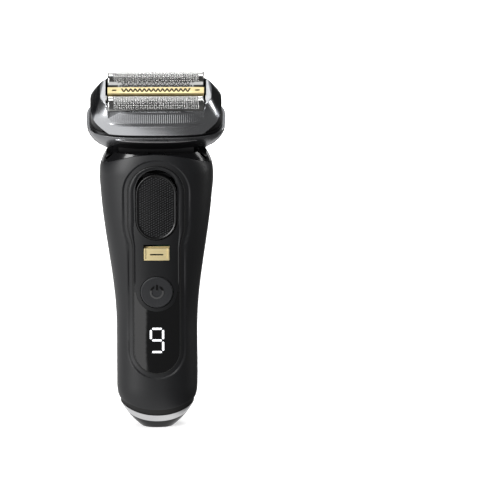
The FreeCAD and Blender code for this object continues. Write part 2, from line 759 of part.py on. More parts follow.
def ear():
    disc = x_cylinder(EAR_RADIUS, EAR_INNER, EAR_OUTER, PIVOT_Y, PIVOT_Z)
    stem = box(EAR_INNER, EAR_OUTER, PIVOT_Y - EAR_RADIUS, PIVOT_Y + EAR_RADIUS,
               PIVOT_Z - BARREL_RADIUS - 4, PIVOT_Z)
    return fused([disc, stem])


def pin_bore(radius):
    return mirrored(x_cylinder(radius, BARREL_HALF - 5, EAR_OUTER + 1, PIVOT_Y, PIVOT_Z))


def neck_yoke():
    """The glossy shoulders with two ears, plugged into the covers and screwed to the chassis."""
    plug = prism(PLUG_INSET, YOKE_BOTTOM, SHOULDER_Z + 1.0)
    plug = plug.fuse(prism(PLUG_CORE_INSET, YOKE_BOTTOM, HANDLE_HEIGHT + 0.5))
    plug = plug.cut(front_clearance())
    shoulders = handle(0).common(above_covers(0.12)).common(box(-FAR, FAR, -FAR, FAR, 0, YOKE_TOP - 0.02))
    body = plug.fuse(shoulders).cut(pivot_trough())
    body = body.cut(box(-FAR, FAR, -FAR, PIVOT_Y, HANDLE_HEIGHT, FAR * 3))
    inner = BARREL_HALF - 3.0
    hollow = box(-inner, inner, -9.8, 9.5, YOKE_BOTTOM + 2.5, PIVOT_Z - BARREL_RADIUS - 3.0)
    body = body.cut(hollow).cut(trimmer_bed_space())
    body = body.cut(lock_passage()).fuse(mirrored(ear()))
    body = body.cut(pin_bore(PIN_RADIUS)).cut(yoke_screw_holes(SCREW_RADIUS + 0.15))
    return body.removeSplitter()


def front_clearance():
    """Room behind the panel for the slider's flange over its travel."""
    half = SLIDER_HALF_WIDTH + 2.2
    deep = box(-half, half, -FAR, -9.8, 0, SLIDER_TOP - 2.0)
    panel = panel_outline(1.0).cut(handle(PANEL_BACK + 0.6))
    return deep.fuse(panel)


def trimmer_bed_space():
    half = TRIMMER_HALF_WIDTH + MOVING_GAP + 1.3
    bed = box(-half, half, TRIMMER_FLOOR_Y - 1.3, FAR, 0, HANDLE_HEIGHT)
    return bed.cut(above_covers(0)).fuse(trimmer_channel(MOVING_GAP))


def lock_passage():
    y1 = PIVOT_Y - LOCK_OFFSET
    half = LOCK_HALF_WIDTH + 0.4
    return box(-half, half, y1 - LOCK_DEPTH - 0.4, y1 + 0.4, 0, PIVOT_Z)


def pivot_pins():
    return mirrored(x_cylinder(PIN_RADIUS, BARREL_HALF - 4.5, EAR_OUTER, PIVOT_Y, PIVOT_Z))


# ---- Long-hair trimmer ----
def trimmer_slide():
    """The sliding carrier with a thumb ridge near its lower end."""
    half = TRIMMER_HALF_WIDTH
    y0 = TRIMMER_FLOOR_Y + MOVING_GAP
    plate = box(-half, half, y0, FAR, TRIMMER_BOTTOM, TRIMMER_TOP).common(handle(0.1))
    slot = box(-half + 1.4, half - 1.4, y0 - 1, y0 + 1.5, TRIMMER_TOP - 12, TRIMMER_TOP + 1)
    ribs = []
    for i in range(5):
        z = TRIMMER_BOTTOM + 4 + 2.0 * i
        ribs.append(box(-5, 5, SHOULDER_BACK - 1, SHOULDER_BACK + 0.7, z, z + 1.0))
    return fused([plate.cut(slot).cut(trimmer_button_hole(0.2))] + ribs)


def trimmer_button_hole(grow):
    z = TRIMMER_BOTTOM + 22.0
    return box(-4.5 - grow, 4.5 + grow, TRIMMER_FLOOR_Y + 1.5 - grow, FAR, z - grow, z + 7.0 + grow)


def trimmer_button():
    """A small release button set in the trimmer's carrier."""
    return trimmer_button_hole(0).common(handle(-0.35)).common(
        box(-FAR, FAR, TRIMMER_FLOOR_Y + 2.5, FAR, 0, FAR * 3))


def teeth_cuts(x_half, count, y0, y1, z0, z1, width):
    """Slots side by side, to cut a row of teeth."""
    pitch = 2 * x_half / count
    cuts = []
    for i in range(count):
        x = -x_half + pitch * (i + 0.5)
        cuts.append(box(x - width / 2, x + width / 2, y0, y1, z0, z1))
    return Part.makeCompound(cuts)


def trimmer_comb():
    y0 = TRIMMER_FLOOR_Y + MOVING_GAP + 0.75
    half = TRIMMER_HALF_WIDTH - 1.6
    top = TRIMMER_TOP + COMB_RISE
    plate = box(-half, half, y0, y0 + 0.6, TRIMMER_TOP - 10, top)
    return plate.cut(teeth_cuts(half - 0.4, TRIMMER_TEETH, y0 - 1, y0 + 2, top - 2.4, top + 1, 0.55))


def trimmer_blade():
    y0 = TRIMMER_FLOOR_Y + MOVING_GAP + 0.05
    half = TRIMMER_HALF_WIDTH - 1.6 - STROKE - 0.3
    top = TRIMMER_TOP + COMB_RISE - 0.5
    plate = box(-half, half, y0, y0 + 0.6, TRIMMER_TOP - 9, top)
    return plate.cut(teeth_cuts(half - 0.3, TRIMMER_TEETH - 3, y0 - 1, y0 + 2, top - 2.2, top + 1, 0.5))


# ---- Head, in its own frame ----
def place_head(shape):
    """Tilts a piece of the head forward and sets it on the swivel axis."""
    moved = shape.copy()
    moved.rotate(V(0, 0, 0), V(1, 0, 0), HEAD_TILT)
    moved.translate(V(0, PIVOT_Y, PIVOT_Z))
    return moved


def head_loft(table, inset):
    wires = [section(w - inset, d - inset, 0, z, power) for z, w, d, power in table]
    return Part.makeLoft(wires, True, False)


def above_ring_edge():
    """Everything over the ring's lower edge, which dips to the swivel at both sides."""
    low = -1.0
    mid = RING_FRONT_LOW
    flat = RING_FLAT_HALF
    side = RING_SIDE_HALF
    left = bend((-side, low), (-side + 2, mid - 3), (-flat - 4, mid), (-flat, mid))
    right = bend((flat, mid), (flat + 4, mid), (side - 2, mid - 3), (side, low))
    frame = [(side, low), (FAR, low), (FAR, FAR), (-FAR, FAR), (-FAR, low), (-side, low)]
    rest = [line(a, b) for a, b in zip(frame, frame[1:])]
    return through_y([left, line((-flat, mid), (flat, mid)), right] + rest)


def release_window(grow, x0, x1):
    return box(x0, x1, -RELEASE_HALF_DEPTH - grow, RELEASE_HALF_DEPTH + grow,
               RELEASE_LOW - grow, RELEASE_HIGH + grow)


def head_ring():
    ring = head_loft(BOWL, 0).cut(head_loft(BOWL, RING_THICK))
    ring = ring.common(above_ring_edge())
    return ring.cut(mirrored(release_window(0.2, 20.0, FAR)))


def head_housing():
    shell = head_loft(BOWL, RING_THICK + SEAM)
    cavity = head_loft(BOWL, RING_THICK + BOWL_WALL).common(box(-FAR, FAR, -FAR, FAR, 3.6, FAR))
    barrel = x_cylinder(BARREL_RADIUS, -BARREL_HALF, BARREL_HALF, 0, 0)
    body = shell.fuse(barrel).cut(cavity)
    body = body.cut(x_cylinder(3.4, -BARREL_HALF + 5, BARREL_HALF - 5, 0, 0))
    rooms = mirrored(x_cylinder(EAR_RADIUS + 0.5, BARREL_HALF, EAR_OUTER + EAR_GAP, 0, 0))
    bores = mirrored(x_cylinder(PIN_RADIUS + PIN_CLEARANCE, BARREL_HALF - 4.9, BARREL_HALF + 1, 0, 0))
    body = body.cut(rooms).cut(bores)
    body = body.cut(mirrored(release_window(0.2, 23.0, FAR)))
    return body.removeSplitter()


def release_button():
    """A side button that lets the cassette go, with the ring's curve on its outside."""
    cap = release_window(0, 25.0, FAR).common(head_loft(BOWL, -0.15)).cut(head_loft(BOWL, 2.0))
    return cap


def release_spring():
    """The closed coils of the spring behind a release button."""
    middle = (RELEASE_LOW + RELEASE_HIGH) / 2 + 0.2
    rings = []
    for i in range(SPRING_COILS):
        place = V(26.1 - 0.5 * i, 0, middle)
        rings.append(Part.makeTorus(RELEASE_SPRING_RADIUS, RELEASE_WIRE, place, V(1, 0, 0)))
    return Part.makeCompound(rings)


def frame_area(gap):
    """Everything over the cassette frame's lower edge: flat in the middle, rising to the corners."""
    low = FRAME_BOTTOM - gap
    flat = FRAME_FLAT_HALF
    run = FRAME_CORNER_RUN * 2
    rise = FRAME_CORNER_RISE * 2
    points = [(-flat, low), (flat, low), (flat + run, low + rise), (flat + run, FAR),
              (-flat - run, FAR), (-flat - run, low + rise)]
    return through_y(polygon(points))


def drive_slots(half_x, half_y, z0, z1):
    rows = (-FOIL_Y, GOLD_Y, FOIL_Y)
    return Part.makeCompound([box(-half_x, half_x, y - half_y, y + half_y, z0, z1) for y in rows])


def cassette_seat():
    """The deck under the cassette, with a post in each corner that the cassette clips over."""
    low = BOWL[-1][0] + SEAM
    top = low + SEAT_THICK
    w, d, power = FRAME[0][1:]
    deck = Part.Face(section(w - 1.3, d - 1.3, 0, low, power)).extrude(V(0, 0, SEAT_THICK))
    posts = head_loft(FRAME, 1.7).cut(frame_area(0.5))
    posts = posts.common(box(-FAR, FAR, -FAR, FAR, top - 0.2, FRAME[3][0]))
    core = CASSETTE_OPEN_X + 1.5
    posts = posts.cut(box(-core, core, -FAR, FAR, 0, FAR))
    return fused([deck] + posts.Solids).cut(drive_slots(STROKE + DRIVE_PIN_RADIUS + 0.4, 1.4, 0, FAR))


def motor_stator():
    core = box(-STATOR_HALF_X, STATOR_HALF_X, -STATOR_HALF_Y, STATOR_HALF_Y, STATOR_LOW, STATOR_TOP)
    slots = mirrored(box(STATOR_SLOT[0], STATOR_SLOT[1], -FAR, FAR, STATOR_SLOT_FLOOR, FAR))
    return core.cut(slots)


def motor_coil():
    """A flat ring of wire round the stator's middle tooth."""
    ring = box(-COIL_OUTER[0], COIL_OUTER[0], -COIL_OUTER[1], COIL_OUTER[1], COIL_LOW, COIL_TOP)
    return ring.cut(box(-COIL_INNER[0], COIL_INNER[0], -COIL_INNER[1], COIL_INNER[1], 0, FAR))


def motor_armature():
    """Two magnets on a steel keeper that swing to and fro over the stator."""
    keeper = box(-KEEPER_HALF[0], KEEPER_HALF[0], -KEEPER_HALF[1], KEEPER_HALF[1], KEEPER_LOW, KEEPER_TOP)
    inner, outer = MAGNET_EDGES
    magnets = [box(x, x + outer - inner, -MAGNET_HALF_Y, MAGNET_HALF_Y, MAGNET_LOW, KEEPER_LOW)
               for x in (-outer, inner)]
    return fused([keeper] + magnets)


def drive_bridge():
    """The oscillating bridge and its three drive pins, one for each cutter."""
    plate = box(-BRIDGE_HALF[0], BRIDGE_HALF[0], -BRIDGE_HALF[1], BRIDGE_HALF[1], KEEPER_TOP, BRIDGE_TOP)
    pins = [z_cylinder(DRIVE_PIN_RADIUS, 0, y, KEEPER_TOP + 0.7, DRIVE_PIN_TOP)
            for y in (-FOIL_Y, GOLD_Y, FOIL_Y)]
    return fused([plate] + pins)


def leaf_springs():
    """Two flat springs that carry the bridge; they stand outside the armature's path."""
    return mirrored(box(LEAF_X, LEAF_X + LEAF_THICK, -LEAF_HALF_Y, LEAF_HALF_Y, STATOR_LOW, LEAF_TOP))


# ---- Cassette ----
def cassette_frame():
    """The frame round the foils: low walls at the front and back, taller wings at the sides."""
    frame = head_loft(FRAME, 0).common(frame_area(0))
    frame = frame.cut(box(-CASSETTE_OPEN_X, CASSETTE_OPEN_X, -CASSETTE_OPEN_Y, CASSETTE_OPEN_Y, 0, FAR))
    frame = frame.cut(box(-CASSETTE_OPEN_X, CASSETTE_OPEN_X, -FAR, FAR, LIP_Z, FAR))
    hollow = head_loft(FRAME, 1.5).common(box(-FAR, FAR, -FAR, FAR, 0, FRAME[4][0] - 0.5))
    core = CASSETTE_OPEN_X + 1.3
    return frame.cut(hollow.cut(box(-core, core, -FAR, FAR, 0, FAR)))


def cassette_tray():
    x = CASSETTE_OPEN_X - 0.2
    y = CASSETTE_OPEN_Y - 0.15
    tray = box(-x, x, -y, y, FRAME_BOTTOM, TRAY_TOP)
    tray = tray.cut(box(-x + 0.75, x - 0.75, -y + 0.6, y - 0.6, TRAY_FLOOR, FAR))
    return tray.cut(drive_slots(STROKE + DRIVE_PIN_RADIUS + 0.4, 1.4, 0, FAR))


def foil_skin(radius, y, z, leg, half_length):
    """A half-round solid with straight legs, lying along X."""
    top = x_cylinder(radius, -half_length, half_length, y, z)
    legs = box(-half_length, half_length, y - radius, y + radius, z - leg, z)
    return top.fuse(legs).cut(box(-FAR, FAR, -FAR, FAR, z - leg - FAR, z - leg))


def foil(y):
    skin = foil_skin(FOIL_RADIUS, y, FOIL_Z, FOIL_LEG, FOIL_HALF_LENGTH)
    inner = foil_skin(FOIL_RADIUS - FOIL_THICK, y, FOIL_Z, FOIL_LEG + 1, FOIL_HALF_LENGTH + 1)
    return skin.cut(inner).removeSplitter()


def foil_holder(y):
    """The plastic frame inside a foil: end plates and two rails under the cutter."""
    r = FOIL_RADIUS - FOIL_THICK - 0.05
    x = FOIL_HALF_LENGTH - 0.2
    plates = foil_skin(r, y, FOIL_Z, FOIL_Z - HOLDER_TOP, x)
    plates = plates.cut(box(-x + 0.8, x - 0.8, -FAR, FAR, 0, FAR))
    rails = box(-x, x, y - r + 0.25, y + r - 0.25, HOLDER_BOTTOM, HOLDER_TOP)
    slot = DRIVE_FOOT_HALF + STROKE + 0.3
    rails = rails.cut(box(-slot, slot, y - 2.4, y + 2.4, 0, FAR))
    return fused([rails] + plates.Solids)


def cutter(y):
    """A half-round block of thin blades on a spine, with a foot that takes the drive pin."""
    r = FOIL_RADIUS - FOIL_THICK - CUTTER_GAP
    drum = foil_skin(r, y, FOIL_Z, 2.4, CUTTER_HALF_LENGTH)
    pitch = 2 * CUTTER_HALF_LENGTH / CUTTER_SLOTS
    cuts = []
    for i in range(1, CUTTER_SLOTS):
        x = -CUTTER_HALF_LENGTH + pitch * i
        cuts.append(box(x - pitch * 0.3, x + pitch * 0.3, -FAR, FAR, FOIL_Z - 0.6, FAR))
    foot = box(-DRIVE_FOOT_HALF, DRIVE_FOOT_HALF, y - 2.1, y + 2.1, HOLDER_TOP - 2.0, FOIL_Z - 2.3)
    body = drum.cut(Part.makeCompound(cuts)).fuse(foot)
    return body.cut(z_cylinder(DRIVE_PIN_RADIUS + 0.1, 0, y, 0, DRIVE_PIN_TOP + FLOAT_TRAVEL + 0.4))


def gold_trimmer():
    """The gold centre trimmer: a channel with a zigzag row of openings along its top."""
    y = GOLD_Y
    x = FOIL_HALF_LENGTH
    shell = box(-x, x, y - GOLD_HALF, y + GOLD_HALF, HOLDER_TOP - 1.0, GOLD_TOP)
    shell = shell.makeChamfer(0.4, [e for e in shell.Edges if top_long_edge(e, GOLD_TOP)])
    inner = box(-x + 0.6, x - 0.6, y - GOLD_HALF + SHEET, y + GOLD_HALF - SHEET, 0, GOLD_TOP - SHEET)
    return shell.cut(inner).cut(zigzag(y, x - 7.0)).cut(mirrored(end_slot(y)))


def end_slot(y):
    """A short oval opening near the gold trimmer's end."""
    low = GOLD_TOP - 1.5
    ends = [z_cylinder(SLOT_END_RADIUS, SLOT_END_X + step, y, low, low + 3) for step in (-0.6, 0.6)]
    bar = box(SLOT_END_X - 0.6, SLOT_END_X + 0.6, y - SLOT_END_RADIUS, y + SLOT_END_RADIUS, low, low + 3)
    return fused([bar] + ends)


def top_long_edge(edge, height):
    box_ = edge.BoundBox
    return box_.ZMin > height - 0.01 and box_.XLength > 5


def zigzag(y, half):
    """Slanted openings that alternate, so that the strips left between them zigzag."""
    pitch = 2 * half / GOLD_TEETH
    cuts = []
    for i in range(GOLD_TEETH):
        x = -half + pitch * (i + 0.5)
        lean = 0.35 if i % 2 else -0.35
        low = V(x - pitch * 0.2 - lean, y - 0.95, GOLD_TOP - 1.5)
        points = [low, low + V(pitch * 0.4, 0, 0), low + V(pitch * 0.4 + 2 * lean, 1.9, 0),
                  low + V(2 * lean, 1.9, 0), low]
        cuts.append(Part.Face(Part.makePolygon(points)).extrude(V(0, 0, 3)))
    return Part.makeCompound(cuts)


def row_holder(y, half):
    """The plastic block that carries one of the two middle rows."""
    x = FOIL_HALF_LENGTH - 0.3
    block = box(-x, x, y - half, y + half, HOLDER_BOTTOM, HOLDER_TOP - 1.1)
    return block


def gold_holder():
    slot = DRIVE_FOOT_HALF + STROKE + 0.3
    block = row_holder(GOLD_Y, GOLD_HALF - 0.1)
    return block.cut(box(-slot, slot, GOLD_Y - 1.9, GOLD_Y + 1.9, 0, FAR))


def middle_blade():
    """The toothed blade under the gold trimmer."""
    half = GOLD_HALF - SHEET - 0.2
    top = GOLD_TOP - SHEET - 0.2
    bar = box(-CUTTER_HALF_LENGTH, CUTTER_HALF_LENGTH, GOLD_Y - half, GOLD_Y + half, FOIL_Z - 2.4, top)
    bar = bar.cut(teeth_cuts(15.0, GOLD_TEETH, -FAR, FAR, top - 1.2, FAR, 0.6))
    foot = box(-DRIVE_FOOT_HALF, DRIVE_FOOT_HALF, GOLD_Y - 1.6, GOLD_Y + 1.6, HOLDER_TOP - 2.0, FOIL_Z - 2.3)
    body = bar.fuse(foot)
    return body.cut(z_cylinder(DRIVE_PIN_RADIUS + 0.1, 0, GOLD_Y, 0, DRIVE_PIN_TOP + FLOAT_TRAVEL + 0.4))


def skin_guard():
    """The ribbed bar that smooths the skin ahead of the rear foil."""
    x = FOIL_HALF_LENGTH - 0.4
    shell = box(-x, x, GUARD_Y - GUARD_HALF, GUARD_Y + GUARD_HALF, HOLDER_TOP - 1.0, GUARD_TOP)
    shell = shell.makeChamfer(0.5, [e for e in shell.Edges if top_long_edge(e, GUARD_TOP)])
    return shell.cut(teeth_cuts(x - 4.0, GUARD_SLOTS, -FAR, FAR, GUARD_TOP - 1.0, FAR, 0.6))


def guard_holder():
    return row_holder(GUARD_Y, GUARD_HALF - 0.1)


def float_springs():
    """Closed coils under the rows, one at each end of each row."""
    rings = []
    for y in (-FOIL_Y, GOLD_Y, GUARD_Y, FOIL_Y):
        for x in (-FLOAT_SPRING_X, FLOAT_SPRING_X):
            for i in range(SPRING_COILS):
                place = V(x, y, TRAY_FLOOR + 0.25 + 0.5 * i)
                rings.append(Part.makeTorus(FLOAT_SPRING_RADIUS, FLOAT_WIRE, place, V(0, 0, 1)))
    return Part.makeCompound(rings)


# ---- Build ----
def handle_pieces():
    blank = cover_blank()
    segments = display_segments()
    icon = power_icon()
    return {
        "front_cover": front_cover(blank),
        "rear_cover": rear_cover(blank),
        "rear_grip": rear_grip(),
        "base_seal": base_seal(),
        "base_ring": base_ring(),
        "base_cap": base_cap(),
        "charging_socket": charging_socket(),
        "socket_pins": socket_pins(),
        "station_contacts": station_contact(0, WAIST_BACK - 3.0, WAIST_BACK - 0.1),
        "front_panel": front_panel(),
        "display_window": display_window(digit_strokes()),
        "display_segments": segments,
        "display_module": display_module(),
        "lock_slider": lock_slider(),
        "lock_bar": lock_bar(),
        "precision_switch": precision_switch(),
        "power_button": power_button(icon),
        "power_icon": icon,
        "button_seal": button_seal(),
        "chassis": chassis(),
        "yoke_screws": yoke_screws(),
        "battery_cell": battery_cell(),
        "circuit_board": circuit_board(),
        "board_parts": board_parts(),
        "neck_yoke": neck_yoke(),
        "pivot_pins": pivot_pins(),
        "trimmer_slide": trimmer_slide(),
        "trimmer_button": trimmer_button(),
        "trimmer_comb": trimmer_comb(),
        "trimmer_blade": trimmer_blade(),
    }


def head_pieces():
    return {
        "head_housing": head_housing(),
        "head_ring": head_ring(),
        "cassette_seat": cassette_seat(),
        "release_button_right": release_button(),
        "release_button_left": release_button().mirror(ORIGIN, V(1, 0, 0)),
        "release_springs": mirrored(release_spring()),
        "motor_stator": motor_stator(),
        "motor_coil": motor_coil(),
        "motor_armature": motor_armature(),
        "drive_bridge": drive_bridge(),
        "leaf_springs": leaf_springs(),
        "cassette_frame": cassette_frame(),
        "cassette_tray": cassette_tray(),
        "float_springs": float_springs(),
        "front_foil": foil(-FOIL_Y),
        "front_foil_holder": foil_holder(-FOIL_Y),
        "front_cutter": cutter(-FOIL_Y),
        "rear_foil": foil(FOIL_Y),
        "rear_foil_holder": foil_holder(FOIL_Y),
        "rear_cutter": cutter(FOIL_Y),
        "gold_trimmer": gold_trimmer(),
        "gold_holder": gold_holder(),
        "middle_blade": middle_blade(),
        "skin_guard": skin_guard(),
        "guard_holder": guard_holder(),
    }


def main():
    os.makedirs("parts", exist_ok=True)
    pieces = handle_pieces()
    for name, shape in head_pieces().items():
        pieces[name] = place_head(shape)
    for name, shape in pieces.items():
        shape.exportStep("parts/" + name + ".step")
        state = "ok" if shape.isValid() else "INVALID"
        print(name, len(shape.Solids), round(shape.Volume, 1), state)


main()
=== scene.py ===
"""Cordless foil shaver: the visible pieces, their finishes and the studio, laid out as an add-on."""
import json
import math

import bmesh
import bpy
import numpy as np
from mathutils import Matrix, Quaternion, Vector


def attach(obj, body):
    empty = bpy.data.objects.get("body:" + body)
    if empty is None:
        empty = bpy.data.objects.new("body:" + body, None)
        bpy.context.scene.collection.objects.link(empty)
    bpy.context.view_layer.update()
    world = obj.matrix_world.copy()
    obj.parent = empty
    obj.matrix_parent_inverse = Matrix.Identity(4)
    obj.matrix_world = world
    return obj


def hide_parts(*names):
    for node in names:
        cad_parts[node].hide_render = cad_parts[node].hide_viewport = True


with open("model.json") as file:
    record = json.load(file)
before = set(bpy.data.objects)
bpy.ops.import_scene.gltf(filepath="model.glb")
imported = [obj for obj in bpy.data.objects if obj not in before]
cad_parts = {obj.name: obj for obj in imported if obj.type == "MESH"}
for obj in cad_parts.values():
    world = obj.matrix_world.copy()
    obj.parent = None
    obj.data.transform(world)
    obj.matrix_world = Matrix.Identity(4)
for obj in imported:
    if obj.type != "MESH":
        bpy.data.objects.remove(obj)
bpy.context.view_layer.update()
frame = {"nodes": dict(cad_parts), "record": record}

bl_info = {
    "name": "Foil shaver",
    "version": (1, 0, 0),
    "blender": (4, 5, 0),
    "location": "View3D > Sidebar > Shaver",
    "description": "Builds a cordless foil shaver around its packed model",
    "category": "Object",
}

MM = 0.001

# ---- Handle: sizes in millimetres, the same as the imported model's ----
HANDLE_HEIGHT = 131.0
WAIST_HALF, SHOULDER_HALF, FOOT_HALF = 18.5, 25.9, 7.6
WAIST_FRONT, SHOULDER_FRONT, FOOT_DEPTH = 14.5, 18.5, 8.0
WAIST_BACK, SHOULDER_BACK = 14.5, 17.0
BASE_ROUND, BASE_CURVE = 20.0, 2.25
FLARE_START, FRONT_FLARE_END, SHOULDER_Z = 46.0, 101.0, 121.0
BACK_FLARE = (26.0, 76.0)
SHOULDER_FALL, SIDE_ROUND, FRONT_ROUND, BACK_ROUND = 10.0, 4.2, 0.8, 2.6
SQUARENESS = 2.6
PARTING_Y = 2.0
LOW_EDGE, LOW_EDGE_RADIUS = 9.3, 35.69
TOP_EDGE_RADIUS = 53.92
PANEL_TOP_RADIUS, PANEL_HALF, PANEL_BOTTOM, PANEL_TOP = 13.0, 10.7, 27.0, 125.9
NECK_TOP, NECK_LENGTH = 98.0, 12.0
LEDGE_WIDTH, LEDGE_SINK = 2.5, 0.5
COVER_MIDDLE, COVER_HALF, COVER_SPAN = 70.0, 60.0, 40.0     # middle height, half height, half way round
SLIDER_HALF, SLIDER_LOW, SLIDER_HIGH = 9.4, 90.95, 121.95
BUTTON_RADIUS, BUTTON_Z = 7.5, 65.65
MARK_Z = 83.85

# ---- Head, in its own frame: swivel axis at the origin, z out of the foils ----
PIVOT = (0.0, -4.0, 132.5)
HEAD_TILT = math.radians(26.0)
BOWL = np.array([(0.0, 22.0, 6.6, 2.6), (3.4, 26.4, 8.2, 2.7), (6.6, 28.9, 9.9, 2.9),
                 (9.6, 30.4, 11.5, 3.1), (12.6, 31.3, 13.0, 3.3), (15.8, 31.7, 14.1, 3.5)])
WING = np.array([(15.8, 31.75, 14.6), (19.5, 31.6, 15.0), (23.0, 31.0, 15.2), (26.4, 29.3, 15.0),
                 (28.6, 27.9, 14.4), (30.4, 26.7, 13.7), (31.9, 25.5, 13.0)])
WING_TOP = 31.9
WING_SQUARENESS = 3.4
WING_BOTTOM, WING_FLAT, CORNER_SLOPE = 17.3, 20.9, 7.6 / 10.2
LIP_Z, OPEN_X, OPEN_Y = 30.5, 22.9, 13.1
FOIL_Y, FOIL_Z, FOIL_RADIUS, FOIL_HALF, FOIL_LEG = 8.8, 31.05, 3.9, 22.0, 5.0
GOLD_Y, GOLD_TOP = -1.75, 33.9
GUARD_Y, GUARD_TOP = 2.95, 34.0
ZIGZAG_HALF = 15.6
LENS_Z, LENS_HALF, LENS_HEIGHT = 13.35, 18.8, 1.75
BEAD_Z, BEAD_RADIUS = 15.58, 0.2


# ---- Curves and surfaces ----
def smooth(t):
    """S-shaped step: t*t*(3 - 2t) between 0 and 1."""
    t = np.clip(t, 0.0, 1.0)
    return t * t * (3.0 - 2.0 * t)


def reach(z, foot, waist, shoulder, start, end, lost):
    """Waist, plus a smooth flare to the shoulder, less a power curve at the base and one at the top."""
    base = np.maximum(1.0 - z / BASE_ROUND, 0.0) ** BASE_CURVE
    top = np.maximum((z - SHOULDER_Z) / SHOULDER_FALL, 0.0) ** 1.8
    flare = smooth((z - start) / (end - start))
    return waist + (shoulder - waist) * flare - (waist - foot) * base - lost * top


def handle_section(z, inset):
    """Half width, half depth and centre y of the handle's section at height z."""
    width = reach(z, FOOT_HALF, WAIST_HALF, SHOULDER_HALF, FLARE_START, SHOULDER_Z, SIDE_ROUND)
    front = reach(z, FOOT_DEPTH, WAIST_FRONT, SHOULDER_FRONT, FLARE_START, FRONT_FLARE_END, FRONT_ROUND)
    back = reach(z, FOOT_DEPTH, WAIST_BACK, SHOULDER_BACK, BACK_FLARE[0], BACK_FLARE[1], BACK_ROUND)
    return width - inset, (front + back) / 2 - inset, (back - front) / 2


def unit_reach(t, power):
    """Reach of a unit superellipse at angle t: (|cos t|^p + |sin t|^p)^(-1/p)."""
    return (np.abs(np.cos(t)) ** power + np.abs(np.sin(t)) ** power) ** (-1.0 / power)


def front_skin(t, z, inset):
    """Handle skin at angle t from the front: x = a r(t) sin t, y = c - b r(t) cos t."""
    a, b, c = handle_section(z, inset)
    r = unit_reach(t, SQUARENESS)
    return np.stack([a * r * np.sin(t), c - b * r * np.cos(t), z + 0.0 * t], axis=-1)


def angle_at(x, z, inset):
    """Angle of the skin point with width x: tan^p t = q^p / (1 - q^p), where q = |x| / a."""
    a = handle_section(z, inset)[0]
    q = np.clip(np.abs(x) / a, 0.0, 0.9999) ** SQUARENESS
    return np.sign(x) * np.arctan((q / (1.0 - q)) ** (1.0 / SQUARENESS))


def on_front(x, z, inset):
    """The point of the handle's front at (x, z), moved inwards by inset."""
    return front_skin(angle_at(x, z, inset), z, inset)


def parting_angle(z):
    """Angle at which the front cover meets the rear one: |X|^p + c^p = 1 at y = PARTING_Y."""
    _, b, c = handle_section(z, 0.0)
    depth = np.clip((PARTING_Y - c) / b, 0.0, 0.9)
    side = (1.0 - depth ** SQUARENESS) ** (1.0 / SQUARENESS)
    return math.pi / 2 + np.arctan(depth / side)


def evenly(points, count):
    """A closed line's points, spaced evenly along its length."""
    closed = np.vstack([points, points[:1]])
    run = np.concatenate([[0.0], np.cumsum(np.linalg.norm(np.diff(closed, axis=0), axis=1))])
    at = np.linspace(0.0, run[-1], count, endpoint=False)
    return np.stack([np.interp(at, run, closed[:, k]) for k in range(2)], axis=-1)


def round_arc(radius, z, start, end, steps=60):
    """Arc in the XZ plane about (0, z), between two angles from +X."""
    t = np.radians(np.linspace(start, end, steps))
    return np.stack([radius * np.cos(t), z + radius * np.sin(t)], axis=-1)


def panel_line(count):
    """The front panel's outline: a wide round top, a smooth neck and a narrower round foot."""
    t = np.linspace(0.0, 1.0, 40)[1:-1]
    neck_x = PANEL_TOP_RADIUS + (PANEL_HALF - PANEL_TOP_RADIUS) * smooth(t)
    neck_z = NECK_TOP - NECK_LENGTH * t
    right = np.stack([neck_x, neck_z], axis=-1)
    left = right * (-1.0, 1.0)
    top = round_arc(PANEL_TOP_RADIUS, PANEL_TOP - PANEL_TOP_RADIUS, 0, 180)
    foot = round_arc(PANEL_HALF, PANEL_BOTTOM + PANEL_HALF, 180, 360)
    line = np.vstack([top, left, foot, right[::-1]])
    return evenly(line, count)


def stadium_line(half, low, high, count):
    """An upright stadium's outline, and the nearest point of its middle line."""
    line = np.vstack([round_arc(half, high - half, 0, 180), round_arc(half, low + half, 180, 360)])
    edge = evenly(line, count)
    middle = np.stack([np.zeros(count), np.clip(edge[:, 1], low + half, high - half)], axis=-1)
    return edge, middle


def in_head(points):
    """Head frame to standing frame: a turn about X, then a move to the swivel axis."""
    x, y, z = np.moveaxis(np.asarray(points, float), -1, 0)
    c, s = math.cos(HEAD_TILT), math.sin(HEAD_TILT)
    return np.stack([x + PIVOT[0], y * c - z * s + PIVOT[1], y * s + z * c + PIVOT[2]], axis=-1)


def table_at(table, z, column):
    """A table's column at height z: cubic pieces through its rows, with the rows' mean slopes."""
    knots = table[:, 0]
    slopes = np.gradient(table[:, column], knots)
    k = np.clip(np.searchsorted(knots, z) - 1, 0, len(knots) - 2)
    span = knots[k + 1] - knots[k]
    t = np.clip((z - knots[k]) / span, 0.0, 1.0)
    rise = table[k + 1, column] - table[k, column]
    low = table[k, column] + span * slopes[k] * t * (1 - t) ** 2 + rise * smooth(t)
    return low - span * slopes[k + 1] * (1 - t) * t * t


# ---- Meshes ----
def lattice_faces(rows, columns, close_rows=False, close_columns=False):
    """Quads between neighbouring vertices of a rows x columns grid."""
    r = np.arange(rows if close_rows else rows - 1)[:, None]
    c = np.arange(columns if close_columns else columns - 1)[None, :]
    r2, c2 = (r + 1) % rows, (c + 1) % columns
    quads = [r * columns + c, r * columns + c2, r2 * columns + c2, r2 * columns + c]
    return np.stack([q + 0 * (r + c) for q in quads], axis=-1).reshape(-1, 4)


